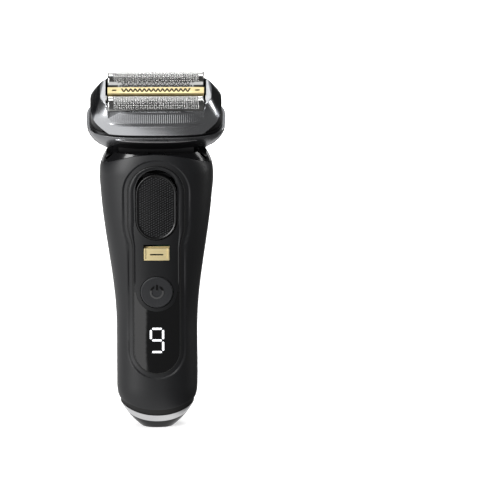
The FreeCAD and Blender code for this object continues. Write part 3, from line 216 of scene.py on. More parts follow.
def make_piece(name, groups, finish, body, replaced=(), sharp=40.0):
    """Joins groups of (points in mm, faces) into one object that rides on a body."""
    points, faces, start = [], [], 0
    for group_points, group_faces in groups:
        flat = np.asarray(group_points, float).reshape(-1, 3)
        points.append(flat)
        faces.extend((np.asarray(group_faces) + start).tolist())
        start += len(flat)
    mesh = bpy.data.meshes.new(name)
    mesh.from_pydata((np.vstack(points) * MM).tolist(), [], faces)
    clean = bmesh.new()
    clean.from_mesh(mesh)
    bmesh.ops.remove_doubles(clean, verts=clean.verts, dist=2e-6)
    bmesh.ops.dissolve_degenerate(clean, edges=clean.edges, dist=1e-6)
    bmesh.ops.recalc_face_normals(clean, faces=clean.faces)
    clean.to_mesh(mesh)
    clean.free()
    mesh.shade_smooth()
    mesh.set_sharp_from_angle(angle=math.radians(sharp))
    mesh.materials.append(finish)
    piece = bpy.data.objects.new(name, mesh)
    bpy.context.scene.collection.objects.link(piece)
    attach(piece, body)
    if replaced:
        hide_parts(*replaced)
    return piece


def face_values(mesh, key, size):
    """One row of numbers for each face."""
    values = np.zeros(len(mesh.polygons) * size)
    mesh.polygons.foreach_get(key, values)
    return values.reshape(-1, size)


def turn_faces(piece, facing):
    """Flips an open sheet if the sum of area x (normal . facing(centre)) over its faces is negative."""
    mesh = piece.data
    along = (face_values(mesh, "normal", 3) * facing(face_values(mesh, "center", 3))).sum(axis=1)
    if (along * face_values(mesh, "area", 1)[:, 0]).sum() < 0:
        mesh.flip_normals()


# ---- Finishes ----
class Value:
    """A shader socket in an expression; each operator adds one Math node."""

    def __init__(self, tree, socket):
        self.tree, self.socket = tree, socket

    def math(self, operation, first, second=0.0):
        return self.tree.node("ShaderNodeMath", {"operation": operation}, first, second)

    def __add__(self, other):
        return self.math("ADD", self, other)

    def __sub__(self, other):
        return self.math("SUBTRACT", self, other)

    def __rsub__(self, other):
        return self.math("SUBTRACT", other, self)

    def __mul__(self, other):
        return self.math("MULTIPLY", self, other)

    def __pow__(self, other):
        return self.math("POWER", self, other)

    def absolute(self):
        return self.math("ABSOLUTE", self)

    def over(self, limit):
        return self.math("GREATER_THAN", self, limit)

    __radd__, __rmul__ = __add__, __mul__


class Finish:
    """A node material, built with node() and shader()."""

    def __init__(self, name):
        self.material = bpy.data.materials.new(name)
        self.material.use_nodes = True
        self.nodes = self.material.node_tree.nodes
        self.links = self.material.node_tree.links
        self.principled = self.nodes["Principled BSDF"]

    def put(self, socket, value):
        """Links a value to a socket, or sets the socket to a number, vector or colour."""
        if isinstance(value, Value):
            self.links.new(value.socket, socket)
        elif socket.type == "RGBA" and len(value) == 3:
            socket.default_value = (*value, 1.0)
        else:
            socket.default_value = value

    def node(self, kind, settings=None, *values, output=0, **named):
        """Adds a node: its settings first, then its sockets in order or by name."""
        node = self.nodes.new(kind)
        for key, setting in (settings or {}).items():
            setattr(node, key, setting)
        for socket, value in zip(node.inputs, values):
            self.put(socket, value)
        for key, value in named.items():
            self.put(node.inputs[key.replace("_", " ")], value)
        return Value(self, node.outputs[output])

    def place(self, stretch=(1.0, 1.0, 1.0)):
        """Object coordinates, stretched along the axes."""
        where = self.node("ShaderNodeTexCoord", output=3)
        return self.node("ShaderNodeMapping", {}, Vector=where, Scale=stretch)

    def axes(self):
        """The three object coordinates, as separate values."""
        where = self.node("ShaderNodeTexCoord", output=3)
        split = self.node("ShaderNodeSeparateXYZ", {}, where)
        return [Value(self, socket) for socket in split.socket.node.outputs]

    def step(self, value, width):
        """A smooth step from 0 to 1 as value goes from -width/2 to +width/2."""
        return self.node("ShaderNodeMapRange", {"interpolation_type": "SMOOTHSTEP"}, value,
                         -width / 2, width / 2, 0.0, 1.0)

    def noise(self, where, scale, detail=3.0, roughness=0.55):
        return self.node("ShaderNodeTexNoise", {}, Vector=where, Scale=scale, Detail=detail,
                         Roughness=roughness)

    def blend(self, factor, first, second):
        """A colour between two others."""
        node = self.nodes.new("ShaderNodeMix")
        node.data_type = "RGBA"
        self.put(node.inputs[0], factor)
        self.put(node.inputs[6], first)
        self.put(node.inputs[7], second)
        return Value(self, node.outputs[2])

    def bump(self, height, distance, strength=1.0):
        return self.node("ShaderNodeBump", {}, Height=height, Distance=distance, Strength=strength)

    def shader(self, **sockets):
        for key, value in sockets.items():
            self.put(self.principled.inputs[key.replace("_", " ")], value)
        return self.material


def lighter(colour, gain):
    """A colour times a gain, with each channel kept at 1 or less."""
    return tuple(min(channel * gain, 1.0) for channel in colour)


def moulded(name, colour, rough, grain=2600.0, depth=0.00002):
    """Moulded plastic: fine spark grain, faint clouding, and fingertip polish in the roughness."""
    f = Finish(name)
    where = f.place()
    cloud = f.noise(where, 38.0, 4.0)
    spark = f.noise(where, grain, 2.0, 0.7)
    polish = f.noise(where, 110.0, 3.0)
    f.shader(Base_Color=f.blend(cloud * 0.8 + spark * 0.2, lighter(colour, 0.8), lighter(colour, 1.3)),
             Roughness=rough - 0.06 + polish * 0.08 + spark * 0.06, Specular_IOR_Level=0.45,
             Normal=f.bump(spark * 0.8 + polish * 0.2, depth, 0.6))
    return f.material


def glossy(name, colour, rough=0.07, shine=0.4):
    """Polished black plastic with hairline scuffs."""
    f = Finish(name)
    cloud = f.noise(f.place(), 60.0)
    scuff = f.noise(f.place((1.0, 1.0, 0.08)), 900.0, 4.0, 0.6)
    f.shader(Base_Color=f.blend(cloud, colour, lighter(colour, 1.5)),
             Roughness=rough + (scuff ** 3.0) * 0.12 + cloud * 0.03, Specular_IOR_Level=shine,
             Normal=f.bump(cloud, 0.00002, 0.15))
    return f.material


def brushed(name, colour, rough, stretch=(1.0, 1.0, 0.03), scale=1500.0, depth=0.000012, shade=0.72,
            metal=1.0):
    """Brushed or satin metal: streaks drawn out along one axis, with soft clouds."""
    f = Finish(name)
    streak = f.noise(f.place(stretch), scale, 4.0, 0.65)
    cloud = f.noise(f.place(), 55.0, 3.0)
    f.shader(Base_Color=f.blend(streak * 0.6 + cloud * 0.4, lighter(colour, shade), lighter(colour, 1.12)),
             Metallic=metal, Roughness=rough - 0.08 + streak * 0.12 + cloud * 0.08,
             Normal=f.bump(streak, depth, 0.7))
    return f.material


# Where painted shade darkens the frame's flanks, in metres: past FLANK_X at height FLANK_Z, and further out
# lower down
FLANK_X, FLANK_Z, FLANK_LEAN, FLANK_BLUR = 0.0258, 0.158, 0.3, 0.0009


def frame_with_painted_flank_shade(name, pale, dark, rough):
    """Satin metal between the flanks, and on them a darker copy of the same brushed metal as painted shade,
    parted by a leaning line in |x|, z.
    """
    f = Finish(name)
    x, _, z = f.axes()
    streak = f.noise(f.place((0.03, 1.0, 1.0)), 1900.0, 4.0, 0.65)
    cloud = f.noise(f.place(), 55.0, 3.0)
    border = FLANK_X + (FLANK_Z - z) * FLANK_LEAN
    painted_flank_shade = f.step(x.absolute() - border, FLANK_BLUR)
    shade = streak * 0.6 + cloud * 0.4
    bright = f.blend(shade, lighter(pale, 0.82), lighter(pale, 1.1))
    # dim: the darker copy of the metal on the flanks, painted shade
    dim = f.blend(shade, lighter(dark, 0.6), lighter(dark, 1.3))
    f.shader(Base_Color=f.blend(painted_flank_shade, bright, dim), Metallic=1.0,
             Roughness=rough - 0.08 + streak * 0.1 + cloud * 0.06, Normal=f.bump(streak, 0.00001, 0.7))
    return f.material


def ink_with_painted_highlight(name, dark, pale):
    """Ink: dark, with a painted highlight that makes the power symbol's lower part paler, below split and
    within half of x = 0.
    """
    f = Finish(name)
    x, _, z = f.axes()
    speck = f.noise(f.place(), 1500.0)
    split, half, blur = (BUTTON_Z + 0.9) * MM, 4.0 * MM, 0.1 * MM
    # painted highlight: the mask of the symbol's paler lower part
    below = f.step(split - z, 4.0 * blur) * f.step(half - x, blur) * f.step(x + half, blur)
    f.shader(Base_Color=f.blend(below * (0.85 + speck * 0.3), dark, pale), Roughness=0.55 + speck * 0.1,
             Specular_IOR_Level=0.2, Normal=f.bump(speck, 0.00001, 0.4))
    return f.material


def rubbery(name, colour, rough=0.72):
    """Soft rubber: matte, with a fine eggshell surface, its colour a little darker in the pits."""
    f = Finish(name)
    where = f.place()
    shell = f.node("ShaderNodeTexVoronoi", {"feature": "SMOOTH_F1"}, Vector=where, Scale=1900.0)
    cloud = f.noise(where, 70.0)
    f.shader(Base_Color=f.blend(cloud * 0.7 + shell * 0.3, lighter(colour, 0.8), lighter(colour, 1.5)),
             Roughness=rough + cloud * 0.12, Specular_IOR_Level=0.35,
             Normal=f.bump(shell + cloud * 0.3, 0.00003, 0.6))
    return f.material


def glowing(name, colour, strength):
    """Light segments behind a dark lens, their glow varying in soft clouds."""
    f = Finish(name)
    cloud = f.noise(f.place(), 300.0)
    f.shader(Base_Color=lighter(colour, 0.8), Roughness=0.25 + cloud * 0.1,
             Emission_Color=f.blend(cloud, lighter(colour, 0.85), colour), Emission_Strength=strength)
    return f.material


def wound(name, colour):
    """Lacquered copper wire, wound side by side."""
    f = Finish(name)
    wire = f.node("ShaderNodeTexWave", {"bands_direction": "X"}, Vector=f.place(), Scale=900.0,
                  Distortion=0.4)
    f.shader(Base_Color=f.blend(wire, lighter(colour, 0.5), colour), Metallic=0.85,
             Roughness=0.28 + wire * 0.1, Normal=f.bump(wire, 0.00008, 0.8))
    return f.material


def board(name, colour):
    """Solder mask over tracks, with paler plated holes."""
    f = Finish(name)
    track = f.node("ShaderNodeTexBrick", {}, Vector=f.place((1.0, 0.0, 1.0)), Scale=160.0)
    cloud = f.noise(f.place(), 200.0)
    mask = f.noise(f.place(), 420.0).over(0.62)
    f.shader(Base_Color=f.blend(mask, f.blend(cloud, colour, lighter(colour, 1.6)), (0.55, 0.48, 0.25)),
             Roughness=0.35 + cloud * 0.15, Normal=f.bump(track, 0.00003, 0.4))
    return f.material


def make_finishes(settings):
    """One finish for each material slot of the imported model."""
    cover = tuple(settings.cover_colour)
    gold = tuple(settings.gold_colour)
    steel = (0.52, 0.52, 0.51)
    along_x = (0.03, 1.0, 1.0)
    return {
        "cover_black": moulded("cover_black", cover, 0.46),
        "rear_black": moulded("rear_black", (0.011, 0.011, 0.012), 0.5, 2200.0, 0.00003),
        "grip_rubber": rubbery("grip_rubber", (0.011, 0.011, 0.012)),
        "gloss_black": glossy("gloss_black", (0.004, 0.004, 0.0045), 0.16),
        "seal_black": rubbery("seal_black", (0.008, 0.008, 0.008), 0.6),
        "satin_chrome": brushed("satin_chrome", (0.7, 0.7, 0.71), 0.18, along_x, 1700.0),
        "dark_chrome": brushed("dark_chrome", (0.25, 0.254, 0.265), 0.22, along_x, 1500.0),
        "frame_chrome": frame_with_painted_flank_shade("frame_chrome", (0.62, 0.63, 0.65), (0.13, 0.135, 0.145), 0.24),
        "panel_black": moulded("panel_black", lighter(cover, 0.85), 0.42, 3000.0, 0.000015),
        "display_black": glossy("display_black", (0.002, 0.002, 0.0022), 0.04, 1.0),
        "display_white": glowing("display_white", tuple(settings.digit_colour), 0.8),
        "slider_black": moulded("slider_black", (0.003, 0.003, 0.0033), 0.34, 2400.0, 0.00001),
        # the knurls: a paler copy of the slider's black, painted highlight on their facets
        "knurl_painted_sheen": moulded("knurl_painted_sheen", (0.045, 0.046, 0.048), 0.42, 2400.0, 0.00001),
        "gold": brushed("gold", gold, 0.34, along_x, 1600.0, 0.00001, 0.8),
        # the switch tab: a less metallic copy of the gold, so that it reads bright: painted highlight
        "gold_tab_painted_highlight": brushed("gold_tab_painted_highlight", gold, 0.4, along_x, 1600.0, 0.00001, 0.85, 0.35),
        "button_black": moulded("button_black", lighter(cover, 2.0), 0.55, 2400.0, 0.00003),
        "icon_black": ink_with_painted_highlight("icon_black", (0.001, 0.001, 0.001), (0.07, 0.07, 0.07)),
        "head_black": moulded("head_black", (0.006, 0.006, 0.0065), 0.35),
        "foil_steel": brushed("foil_steel", steel, 0.2, along_x, 2400.0, 0.000008, 0.85),
        "guard_steel": brushed("guard_steel", steel, 0.2, (1.0, 0.05, 1.0), 1800.0, 0.000008, 0.8),
        "blade_steel": brushed("blade_steel", (0.02, 0.02, 0.02), 0.4, (1.0, 0.05, 1.0), 1800.0),
        "spring_steel": brushed("spring_steel", (0.5, 0.5, 0.5), 0.3),
        "inner_black": moulded("inner_black", (0.01, 0.01, 0.01), 0.55),
        "inner_white": moulded("inner_white", (0.7, 0.7, 0.68), 0.5),
        "contact_gold": brushed("contact_gold", (0.85, 0.6, 0.25), 0.3),
        "board_green": board("board_green", (0.01, 0.09, 0.045)),
        "chip_black": moulded("chip_black", (0.012, 0.012, 0.012), 0.45),
        "cell_wrap": glossy("cell_wrap", (0.03, 0.1, 0.2), 0.25),
        "copper": wound("copper", (0.65, 0.3, 0.14)),
        "magnet_steel": brushed("magnet_steel", (0.45, 0.45, 0.46), 0.25),
    }


FINISHES = {}


# ---- Sizes and colours that a user may change ----
class ShaverSettings(bpy.types.PropertyGroup):
    """Sizes in millimetres and colours."""
    cover_colour: bpy.props.FloatVectorProperty(
        name="Cover", description="Colour of the matte covers", subtype="COLOR", size=3, min=0.0, max=1.0,
        default=(0.0088, 0.0091, 0.0102))
    gold_colour: bpy.props.FloatVectorProperty(
        name="Gold", description="Colour of the centre trimmer and the switch tab", subtype="COLOR", size=3,
        min=0.0, max=1.0, default=(0.84, 0.7, 0.38))
    digit_colour: bpy.props.FloatVectorProperty(
        name="Digit", description="Colour of the lit digit", subtype="COLOR", size=3, min=0.0, max=1.0,
        default=(0.95, 0.97, 1.0))
    floor_colour: bpy.props.FloatVectorProperty(
        name="Floor", description="Colour of the studio floor", subtype="COLOR", size=3, min=0.0, max=1.0,
        default=(0.86, 0.86, 0.86))
    knurl_pitch: bpy.props.FloatProperty(
        name="Knurl pitch", description="Spacing of the slider's knurls, in millimetres", default=0.95,
        min=0.4, max=3.0)
    hole_pitch: bpy.props.FloatProperty(
        name="Hole pitch", description="Spacing of the holes in the foils, in millimetres", default=0.8,
        min=0.5, max=3.0)
    rib_pitch: bpy.props.FloatProperty(
        name="Rib pitch", description="Spacing of the ribs on the cassette, in millimetres", default=0.92,
        min=0.4, max=3.0)
    light_power: bpy.props.FloatProperty(
        name="Light", description="Overall strength of the studio lights", default=1.0, min=0.1, max=5.0,
        unit="NONE")


# ---- Pieces ----
class SHAVER_OT_finishes(bpy.types.Operator):
    """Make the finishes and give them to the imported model's nodes"""
    bl_idname = "shaver.finishes"
    bl_label = "Finishes"

    def execute(self, context):
        FINISHES.update(make_finishes(context.scene.shaver))
        for part in frame["record"]["subparts"]:
            mesh = frame["nodes"][part["node"]].data
            mesh.materials.clear()
            mesh.materials.append(FINISHES[part["material_slot"]])
        # the tab gets the less metallic copy of the gold: painted highlight
        frame["nodes"]["precision_switch"].data.materials[0] = FINISHES["gold_tab_painted_highlight"]
        return {"FINISHED"}


def cover_plane(w, h):
    """Skin angle and height of the front cover: w runs between its side edges, h between its ends."""
    z = COVER_MIDDLE + COVER_HALF * h
    for _ in range(4):
        t = w * parting_angle(z)
        a = handle_section(z, 0.0)[0]
        x = a * unit_reach(t, SQUARENESS) * np.sin(t)
        low = LOW_EDGE + LOW_EDGE_RADIUS - np.sqrt(LOW_EDGE_RADIUS ** 2 - x * x)
        high = HANDLE_HEIGHT - TOP_EDGE_RADIUS + np.sqrt(TOP_EDGE_RADIUS ** 2 - x * x)
        z = low + (high - low) * (h + 1.0) / 2.0
    return t, z, x


def ledge_depth(distance):
    """How far the skin sinks near the panel: a sloping ledge that ends in a short soft step."""
    lead, length, slope = 0.35, 0.5, 0.12
    step = 1.0 - smooth((distance - LEDGE_WIDTH + lead) / length)
    return LEDGE_SINK * step + slope * np.clip(1.0 - distance / LEDGE_WIDTH, 0.0, 1.0)


class SHAVER_OT_cover(bpy.types.Operator):
    """Front cover: the handle's skin round the panel opening, with a soft ledge"""
    bl_idname = "shaver.cover"
    bl_label = "Front cover"

    def execute(self, context):
        count = 520
        line = panel_line(count)
        # the outline in the cover's own plane, found by a few corrections of w and h
        w = line[:, 0] / COVER_SPAN
        h = (line[:, 1] - COVER_MIDDLE) / COVER_HALF
        for _ in range(30):
            t, z, x = cover_plane(w, h)
            w = w + (line[:, 0] - x) / COVER_SPAN
            h = h + (line[:, 1] - z) / COVER_HALF
        inner = np.stack([w, h], axis=-1)
        outer = inner / np.abs(inner).max(axis=1, keepdims=True)
        for corner in ((1, 1), (1, -1), (-1, 1), (-1, -1)):
            outer[np.argmin(np.linalg.norm(outer - corner, axis=1))] = corner
        length = np.linalg.norm((outer - inner) * (COVER_SPAN, COVER_HALF), axis=1)
        # rows of the skin at these distances from the panel, then evenly out to the cover's edge
        near = np.array([0.0, 0.12, 0.4, 0.8, 1.2, 1.6, 1.9, 2.1, 2.25, 2.4, 2.55, 2.7, 2.9, 3.3])
        near = near[:, None] / length[None, :]
        far = near[-1] + (1.0 - near[-1]) * np.linspace(0.0, 1.0, 34)[1:, None]
        v = np.vstack([near, far])[:, :, None]
        plane = inner[None] * (1.0 - v) + outer[None] * v
        t, z, x = cover_plane(plane[..., 0], plane[..., 1])
        # distance to the panel's outline, in chunks that spare memory
        gap = np.full(x.shape, 1e9)
        for chunk in np.array_split(np.arange(count), 13):
            dx = x[..., None] - line[chunk, 0]
            dz = z[..., None] - line[chunk, 1]
            gap = np.minimum(gap, np.sqrt(dx * dx + dz * dz).min(axis=-1))
        sink = ledge_depth(gap)
        sink[-1] += 0.1
        skin = front_skin(t, z, sink)
        wall_depth, edge_depth = 2.0, 1.9
        wall = front_skin(t[:1], z[:1], np.full((1, count), wall_depth))
        edge = front_skin(t[-1:], z[-1:], np.full((1, count), edge_depth))
        points = np.concatenate([wall, skin, edge])
        faces = lattice_faces(len(points), count, close_columns=True)
        piece = make_piece("cover_shell", [(points, faces)], FINISHES["cover_black"], "handle",
                           ["front_cover"], sharp=50.0)
        turn_faces(piece, lambda centres: centres * (1.0, 1.0, 0.0))      # away from the handle's axis
        return {"FINISHED"}


def rounded_plate(edge, middle, profile):
    """A plate on the handle's front: rows of (share of the way from middle to edge, depth)."""
    rows = []
    for share, depth in profile:
        flat = middle * (1.0 - share) + edge * share
        rows.append(on_front(flat[:, 0], flat[:, 1], depth))
    return np.stack(rows), lattice_faces(len(profile), len(edge), close_columns=True)


def knurls(pitch, depth, height):
    """Small four-sided pyramids at (i across, j up + i slant) pitches, kept inside the slider's field."""
    across, up, slant = 1.1, 1.2, 0.6
    rim, margin = 1.15, 0.25
    low, high = SLIDER_LOW + SLIDER_HALF, SLIDER_HIGH - SLIDER_HALF
    i, j = np.meshgrid(np.arange(-30, 31), np.arange(-60, 61))
    x = (i * pitch * across).ravel()
    z = ((low + high) / 2 + j * pitch * up + i * pitch * slant).ravel()
    keep = np.hypot(x, z - np.clip(z, low, high)) < SLIDER_HALF - rim - margin
    x, z = x[keep][:, None], z[keep][:, None]
    lean = math.atan2(slant, across)
    long, short = 0.62 * pitch, 0.4 * pitch
    u = np.array([long, 0.0, -long, 0.0, 0.0])
    v = np.array([0.0, short, 0.0, -short, 0.0])
    px = x + u * math.cos(lean) - v * math.sin(lean)
    pz = z + u * math.sin(lean) + v * math.cos(lean)
    inset = np.array([depth + 0.05] * 4 + [depth - height]) + 0.0 * px
    points = on_front(px, pz, inset)
    start = np.arange(len(points))[:, None, None] * 5
    cell = np.array([[0, 1, 4], [1, 2, 4], [2, 3, 4], [3, 0, 4]])
    base = start[:, 0] + np.array([0, 3, 2, 1])
    return [(points, (start + cell).reshape(-1, 3)), (points, base.reshape(-1, 4))]


class SHAVER_OT_slider(bpy.types.Operator):
    """Lock slider: a stadium with a raised rounded rim and a knurled field"""
    bl_idname = "shaver.slider"
    bl_label = "Lock slider"

    def execute(self, context):
        edge, middle = stadium_line(SLIDER_HALF, SLIDER_LOW, SLIDER_HIGH, 260)
        field, knurl_height = 0.62, 0.34
        profile = [(0.0, field), (0.3, field), (0.6, field), (0.86, field), (0.885, 0.58), (0.905, 0.42),
                   (0.925, 0.3), (0.945, 0.26), (0.96, 0.28), (0.975, 0.36), (0.99, 0.52), (1.0, 0.8),
                   (1.0, 3.0), (0.5, 3.0), (0.0, 3.0)]
        make_piece("slider_cap", [rounded_plate(edge, middle, profile)], FINISHES["slider_black"], "lock",
                   ["lock_slider"], sharp=35.0)
        # the knurls get the paler copy of the slider's black: painted highlight
        make_piece("slider_knurls", knurls(context.scene.shaver.knurl_pitch, field, knurl_height),
                   FINISHES["knurl_painted_sheen"], "lock", sharp=20.0)
        return {"FINISHED"}


def crown_width(z):
    """Width of the panel's crowned border at height z: wide round the slider, narrow down the neck."""
    return 1.1 + 1.9 * smooth((z - 86.0) / 14.0) - 1.35 * smooth((z - 118.5) / 5.0)


def panel_edge(count):
    """The panel's outline and its unit normals, which point inwards."""
    line = panel_line(count)
    ahead = np.roll(line, -1, axis=0) - np.roll(line, 1, axis=0)
    ahead /= np.linalg.norm(ahead, axis=1, keepdims=True)
    return line, np.stack([-ahead[:, 1], ahead[:, 0]], axis=-1)


class SHAVER_OT_seam(bpy.types.Operator):
    """Seam round the panel: a thin dark lip of rubber in the gap to the cover"""
    bl_idname = "shaver.seam"
    bl_label = "Panel seam"

    def execute(self, context):
        line, inward = panel_edge(600)
        rows = []
        profile = ((-0.05, 1.2), (-0.05, 0.62), (0.1, 0.54), (0.4, 0.54), (0.52, 0.6), (0.52, 1.2))
        for outwards, depth in profile:
            flat = line - inward * outwards
            rows.append(on_front(flat[:, 0], flat[:, 1], depth))
        faces = lattice_faces(len(rows), len(line), close_rows=True, close_columns=True)
        make_piece("panel_seam", [(np.stack(rows), faces)], FINISHES["seal_black"], "handle",
                   sharp=50.0)
        return {"FINISHED"}


class SHAVER_OT_crown(bpy.types.Operator):
    """Panel border: a crowned band that follows the panel's edge over the slider"""
    bl_idname = "shaver.crown"
    bl_label = "Panel border"

    def execute(self, context):
        count = 600
        line, inward = panel_edge(count)
        above, fade_length, sunk, underside = 1.0, 5.0, 0.9, 1.3
        # the part of the outline above the power button, from one end to the other
        keep = line[:, 1] > BUTTON_Z + above
        first = np.flatnonzero(keep & ~np.roll(keep, 1))[0]
        run = np.roll(np.arange(count), -first)[:keep.sum()]
        edge, inward = line[run], inward[run]
        width = crown_width(edge[:, 1])
        fade = smooth((edge[:, 1] - BUTTON_Z - above) / fade_length)
        share = np.array([0.02, 0.06, 0.12, 0.2, 0.3, 0.42, 0.55, 0.68, 0.8, 0.9, 1.0])
        depth = np.array([0.95, 0.66, 0.48, 0.38, 0.33, 0.35, 0.42, 0.52, 0.62, 0.72, 0.9])
        rows = []
        for part, sink in zip(share, depth):
            flat = edge + inward * (part * width)[:, None]
            rows.append(on_front(flat[:, 0], flat[:, 1], sunk + (sink - sunk) * fade))
        for part in (0.98, 0.04):
            flat = edge + inward * (part * width)[:, None]
            rows.append(on_front(flat[:, 0], flat[:, 1], underside + 0.0 * width))
        faces = lattice_faces(len(rows), len(edge), close_rows=True)
        make_piece("panel_crown", [(np.stack(rows), faces)], FINISHES["panel_black"], "handle",
                   sharp=50.0)
        return {"FINISHED"}


class SHAVER_OT_mark(bpy.types.Operator):
    """Switch mark: a dark round-ended inlay across the gold tab"""
    bl_idname = "shaver.mark"
    bl_label = "Switch mark"

    def execute(self, context):
        profile = [(0.0, 0.74), (0.5, 0.735), (0.85, 0.745), (1.0, 0.79), (1.0, 1.4), (0.0, 1.4)]
        half_height, half_length = 0.34, 3.1
        turned = stadium_line(half_height, -half_length, half_length, 90)
        edge, middle = (np.stack([side[:, 1], MARK_Z - side[:, 0]], axis=-1) for side in turned)
        make_piece("tab_mark", [rounded_plate(edge, middle, profile)], FINISHES["icon_black"], "switch",
                   sharp=35.0)
        return {"FINISHED"}


def zigzag_ribbon(y, top, half, pitch, amplitude, stroke):
    """A flat-topped ribbon of constant width along a triangle wave: y0 + amplitude * wave(x)."""
    corners = int(round(2 * half / pitch)) + 1
    x = np.linspace(-half, half, corners)
    wave = y + amplitude * np.where(np.arange(corners) % 2 == 0, 1.0, -1.0)
    low, high = top - 0.3, top + 0.03
    loop = [(-stroke, low), (stroke, low), (stroke, high), (-stroke, high)]
    rows = [np.stack([x + side, wave, np.full(corners, z)], axis=-1) for side, z in loop]
    faces = lattice_faces(4, corners, close_rows=True)
    ends = np.array([[0, 1, 2, 3], [3, 2, 1, 0]]) * corners + np.array([[0], [corners - 1]])
    return in_head(np.stack(rows)), np.vstack([faces, ends])


class SHAVER_OT_zigzag(bpy.types.Operator):
    """Zigzag rows: dark ribbons of painted shade where the zigzag gaps are, along the skin guard and along a
    thin strip on the gold trimmer
    """
    bl_idname = "shaver.zigzag"
    bl_label = "Zigzag rows"

    def execute(self, context):
        strip_half, strip_length, count = 1.8, 17.2, 120
        edge, middle = stadium_line(strip_half, -strip_length, strip_length, count)
        rows = []
        for share, z in ((0.0, GOLD_TOP + 0.1), (0.85, GOLD_TOP + 0.1), (1.0, GOLD_TOP + 0.02),
                         (1.0, GOLD_TOP - 0.3), (0.0, GOLD_TOP - 0.3)):
            flat = middle * (1.0 - share) + edge * share
            rows.append(np.stack([flat[:, 1], GOLD_Y - flat[:, 0], np.full(count, z)], axis=-1))
        strip = in_head(np.stack(rows)), lattice_faces(len(rows), count, close_columns=True)
        make_piece("gold_strip", [strip], FINISHES["gold"], "gold_row", sharp=30.0)
        # dark ribbons: painted shade in the zigzag gaps of the trimmer and the guard
        gold = zigzag_ribbon(GOLD_Y - 0.2, GOLD_TOP + 0.12, ZIGZAG_HALF, 1.04, 1.3, 0.36)
        make_piece("gold_zigzag_shade", [gold], FINISHES["icon_black"], "gold_row", sharp=30.0)
        guard = zigzag_ribbon(GUARD_Y, GUARD_TOP, ZIGZAG_HALF, 1.05, 1.35, 0.2)
        make_piece("guard_zigzag_shade", [guard], FINISHES["icon_black"], "guard_row", sharp=30.0)
        return {"FINISHED"}


class SHAVER_OT_power(bpy.types.Operator):
    """Power button: a dished disc with a rolled edge"""
    bl_idname = "shaver.power"
    bl_label = "Power button"

    def execute(self, context):
        count, dish, dish_depth, dish_rise = 180, 0.88, 0.74, 0.3
        edge = evenly(round_arc(BUTTON_RADIUS, BUTTON_Z, 0, 360, count + 1)[:-1], count)
        middle = np.stack([np.zeros(count), np.full(count, BUTTON_Z)], axis=-1)
        share = np.linspace(0.0, dish, 16)
        profile = list(zip(share, dish_depth - dish_rise * (share / dish) ** 2))
        profile += [(0.905, 0.4), (0.93, 0.38), (0.955, 0.42), (0.98, 0.54), (1.0, 0.76), (1.0, 3.0),
                    (0.0, 3.0)]
        make_piece("power_cap", [rounded_plate(edge, middle, profile)], FINISHES["button_black"], "power",
                   ["power_button"], sharp=35.0)
        return {"FINISHED"}


def foil_path(s):
    """Across a foil, s in half cells from the top: an arch of a half circle that ends in straight legs."""
    arch = FOIL_RADIUS * math.pi / 2
    inside = np.clip(s, -arch, arch)
    turn = inside / FOIL_RADIUS
    leg = np.abs(s) - np.abs(inside)
    return FOIL_RADIUS * np.sin(turn), FOIL_Z + FOIL_RADIUS * np.cos(turn) - leg


def foil_sheet(y, pitch):
    """A thin arched sheet with an octagonal hole in each cell of its working area."""
    half_x, half_turn, rim_width = 19.6, math.radians(80.0), 0.8
    cells_x = int(round(2 * half_x / pitch))
    half_s = FOIL_RADIUS * half_turn
    cells_s = int(round(2 * half_s / pitch))
    arch_end = FOIL_RADIUS * math.pi / 2 + FOIL_LEG
    x = np.concatenate([[-FOIL_HALF, -FOIL_HALF + rim_width], np.linspace(-half_x, half_x, 2 * cells_x + 1),
                        [FOIL_HALF - rim_width, FOIL_HALF]])
    legs = np.linspace(half_s, arch_end, 8)[1:]
    s = np.concatenate([-legs[::-1], np.linspace(-half_s, half_s, 2 * cells_s + 1), legs])
    grid_s, grid_x = np.meshgrid(s, x, indexing="ij")
    first_s, first_x = len(legs), 2
    quads = lattice_faces(len(s), len(x)).reshape(len(s) - 1, len(x) - 1, 4)
    # the working area's quads give way to cells: the eight points round each cell, joined to its hole
    solid = np.ones(quads.shape[:2], bool)
    solid[first_s:first_s + 2 * cells_s, first_x:first_x + 2 * cells_x] = False
    r = (first_s + 1 + 2 * np.arange(cells_s))[:, None]
    c = (first_x + 1 + 2 * np.arange(cells_x))[None, :]
    around = [(-1, -1), (-1, 0), (-1, 1), (0, 1), (1, 1), (1, 0), (1, -1), (0, -1)]
    rim = np.stack([(r + dr) * len(x) + c + dc for dr, dc in around], axis=-1).reshape(-1, 8)
    turns = np.array([math.atan2(dr, dc) for dr, dc in around])
    size, stretch = 0.36 * pitch, 1.12
    hole_s = (s[r] + 0 * c)[..., None] + size * np.sin(turns)
    hole_x = (x[c] + 0 * r)[..., None] + size * stretch * np.cos(turns)
    base = grid_s.size
    hole = (base + np.arange(hole_s.size)).reshape(-1, 8)
    ring = [np.stack([rim[:, k], rim[:, (k + 1) % 8], hole[:, (k + 1) % 8], hole[:, k]], axis=-1)
            for k in range(8)]
    all_s = np.concatenate([grid_s.ravel(), hole_s.ravel()])
    all_x = np.concatenate([grid_x.ravel(), hole_x.ravel()])
    across, up = foil_path(all_s)
    points = in_head(np.stack([all_x, y + across, up], axis=-1))
    used, faces = np.unique(np.vstack([quads[solid]] + ring), return_inverse=True)
    return points[used], faces.reshape(-1, 4)


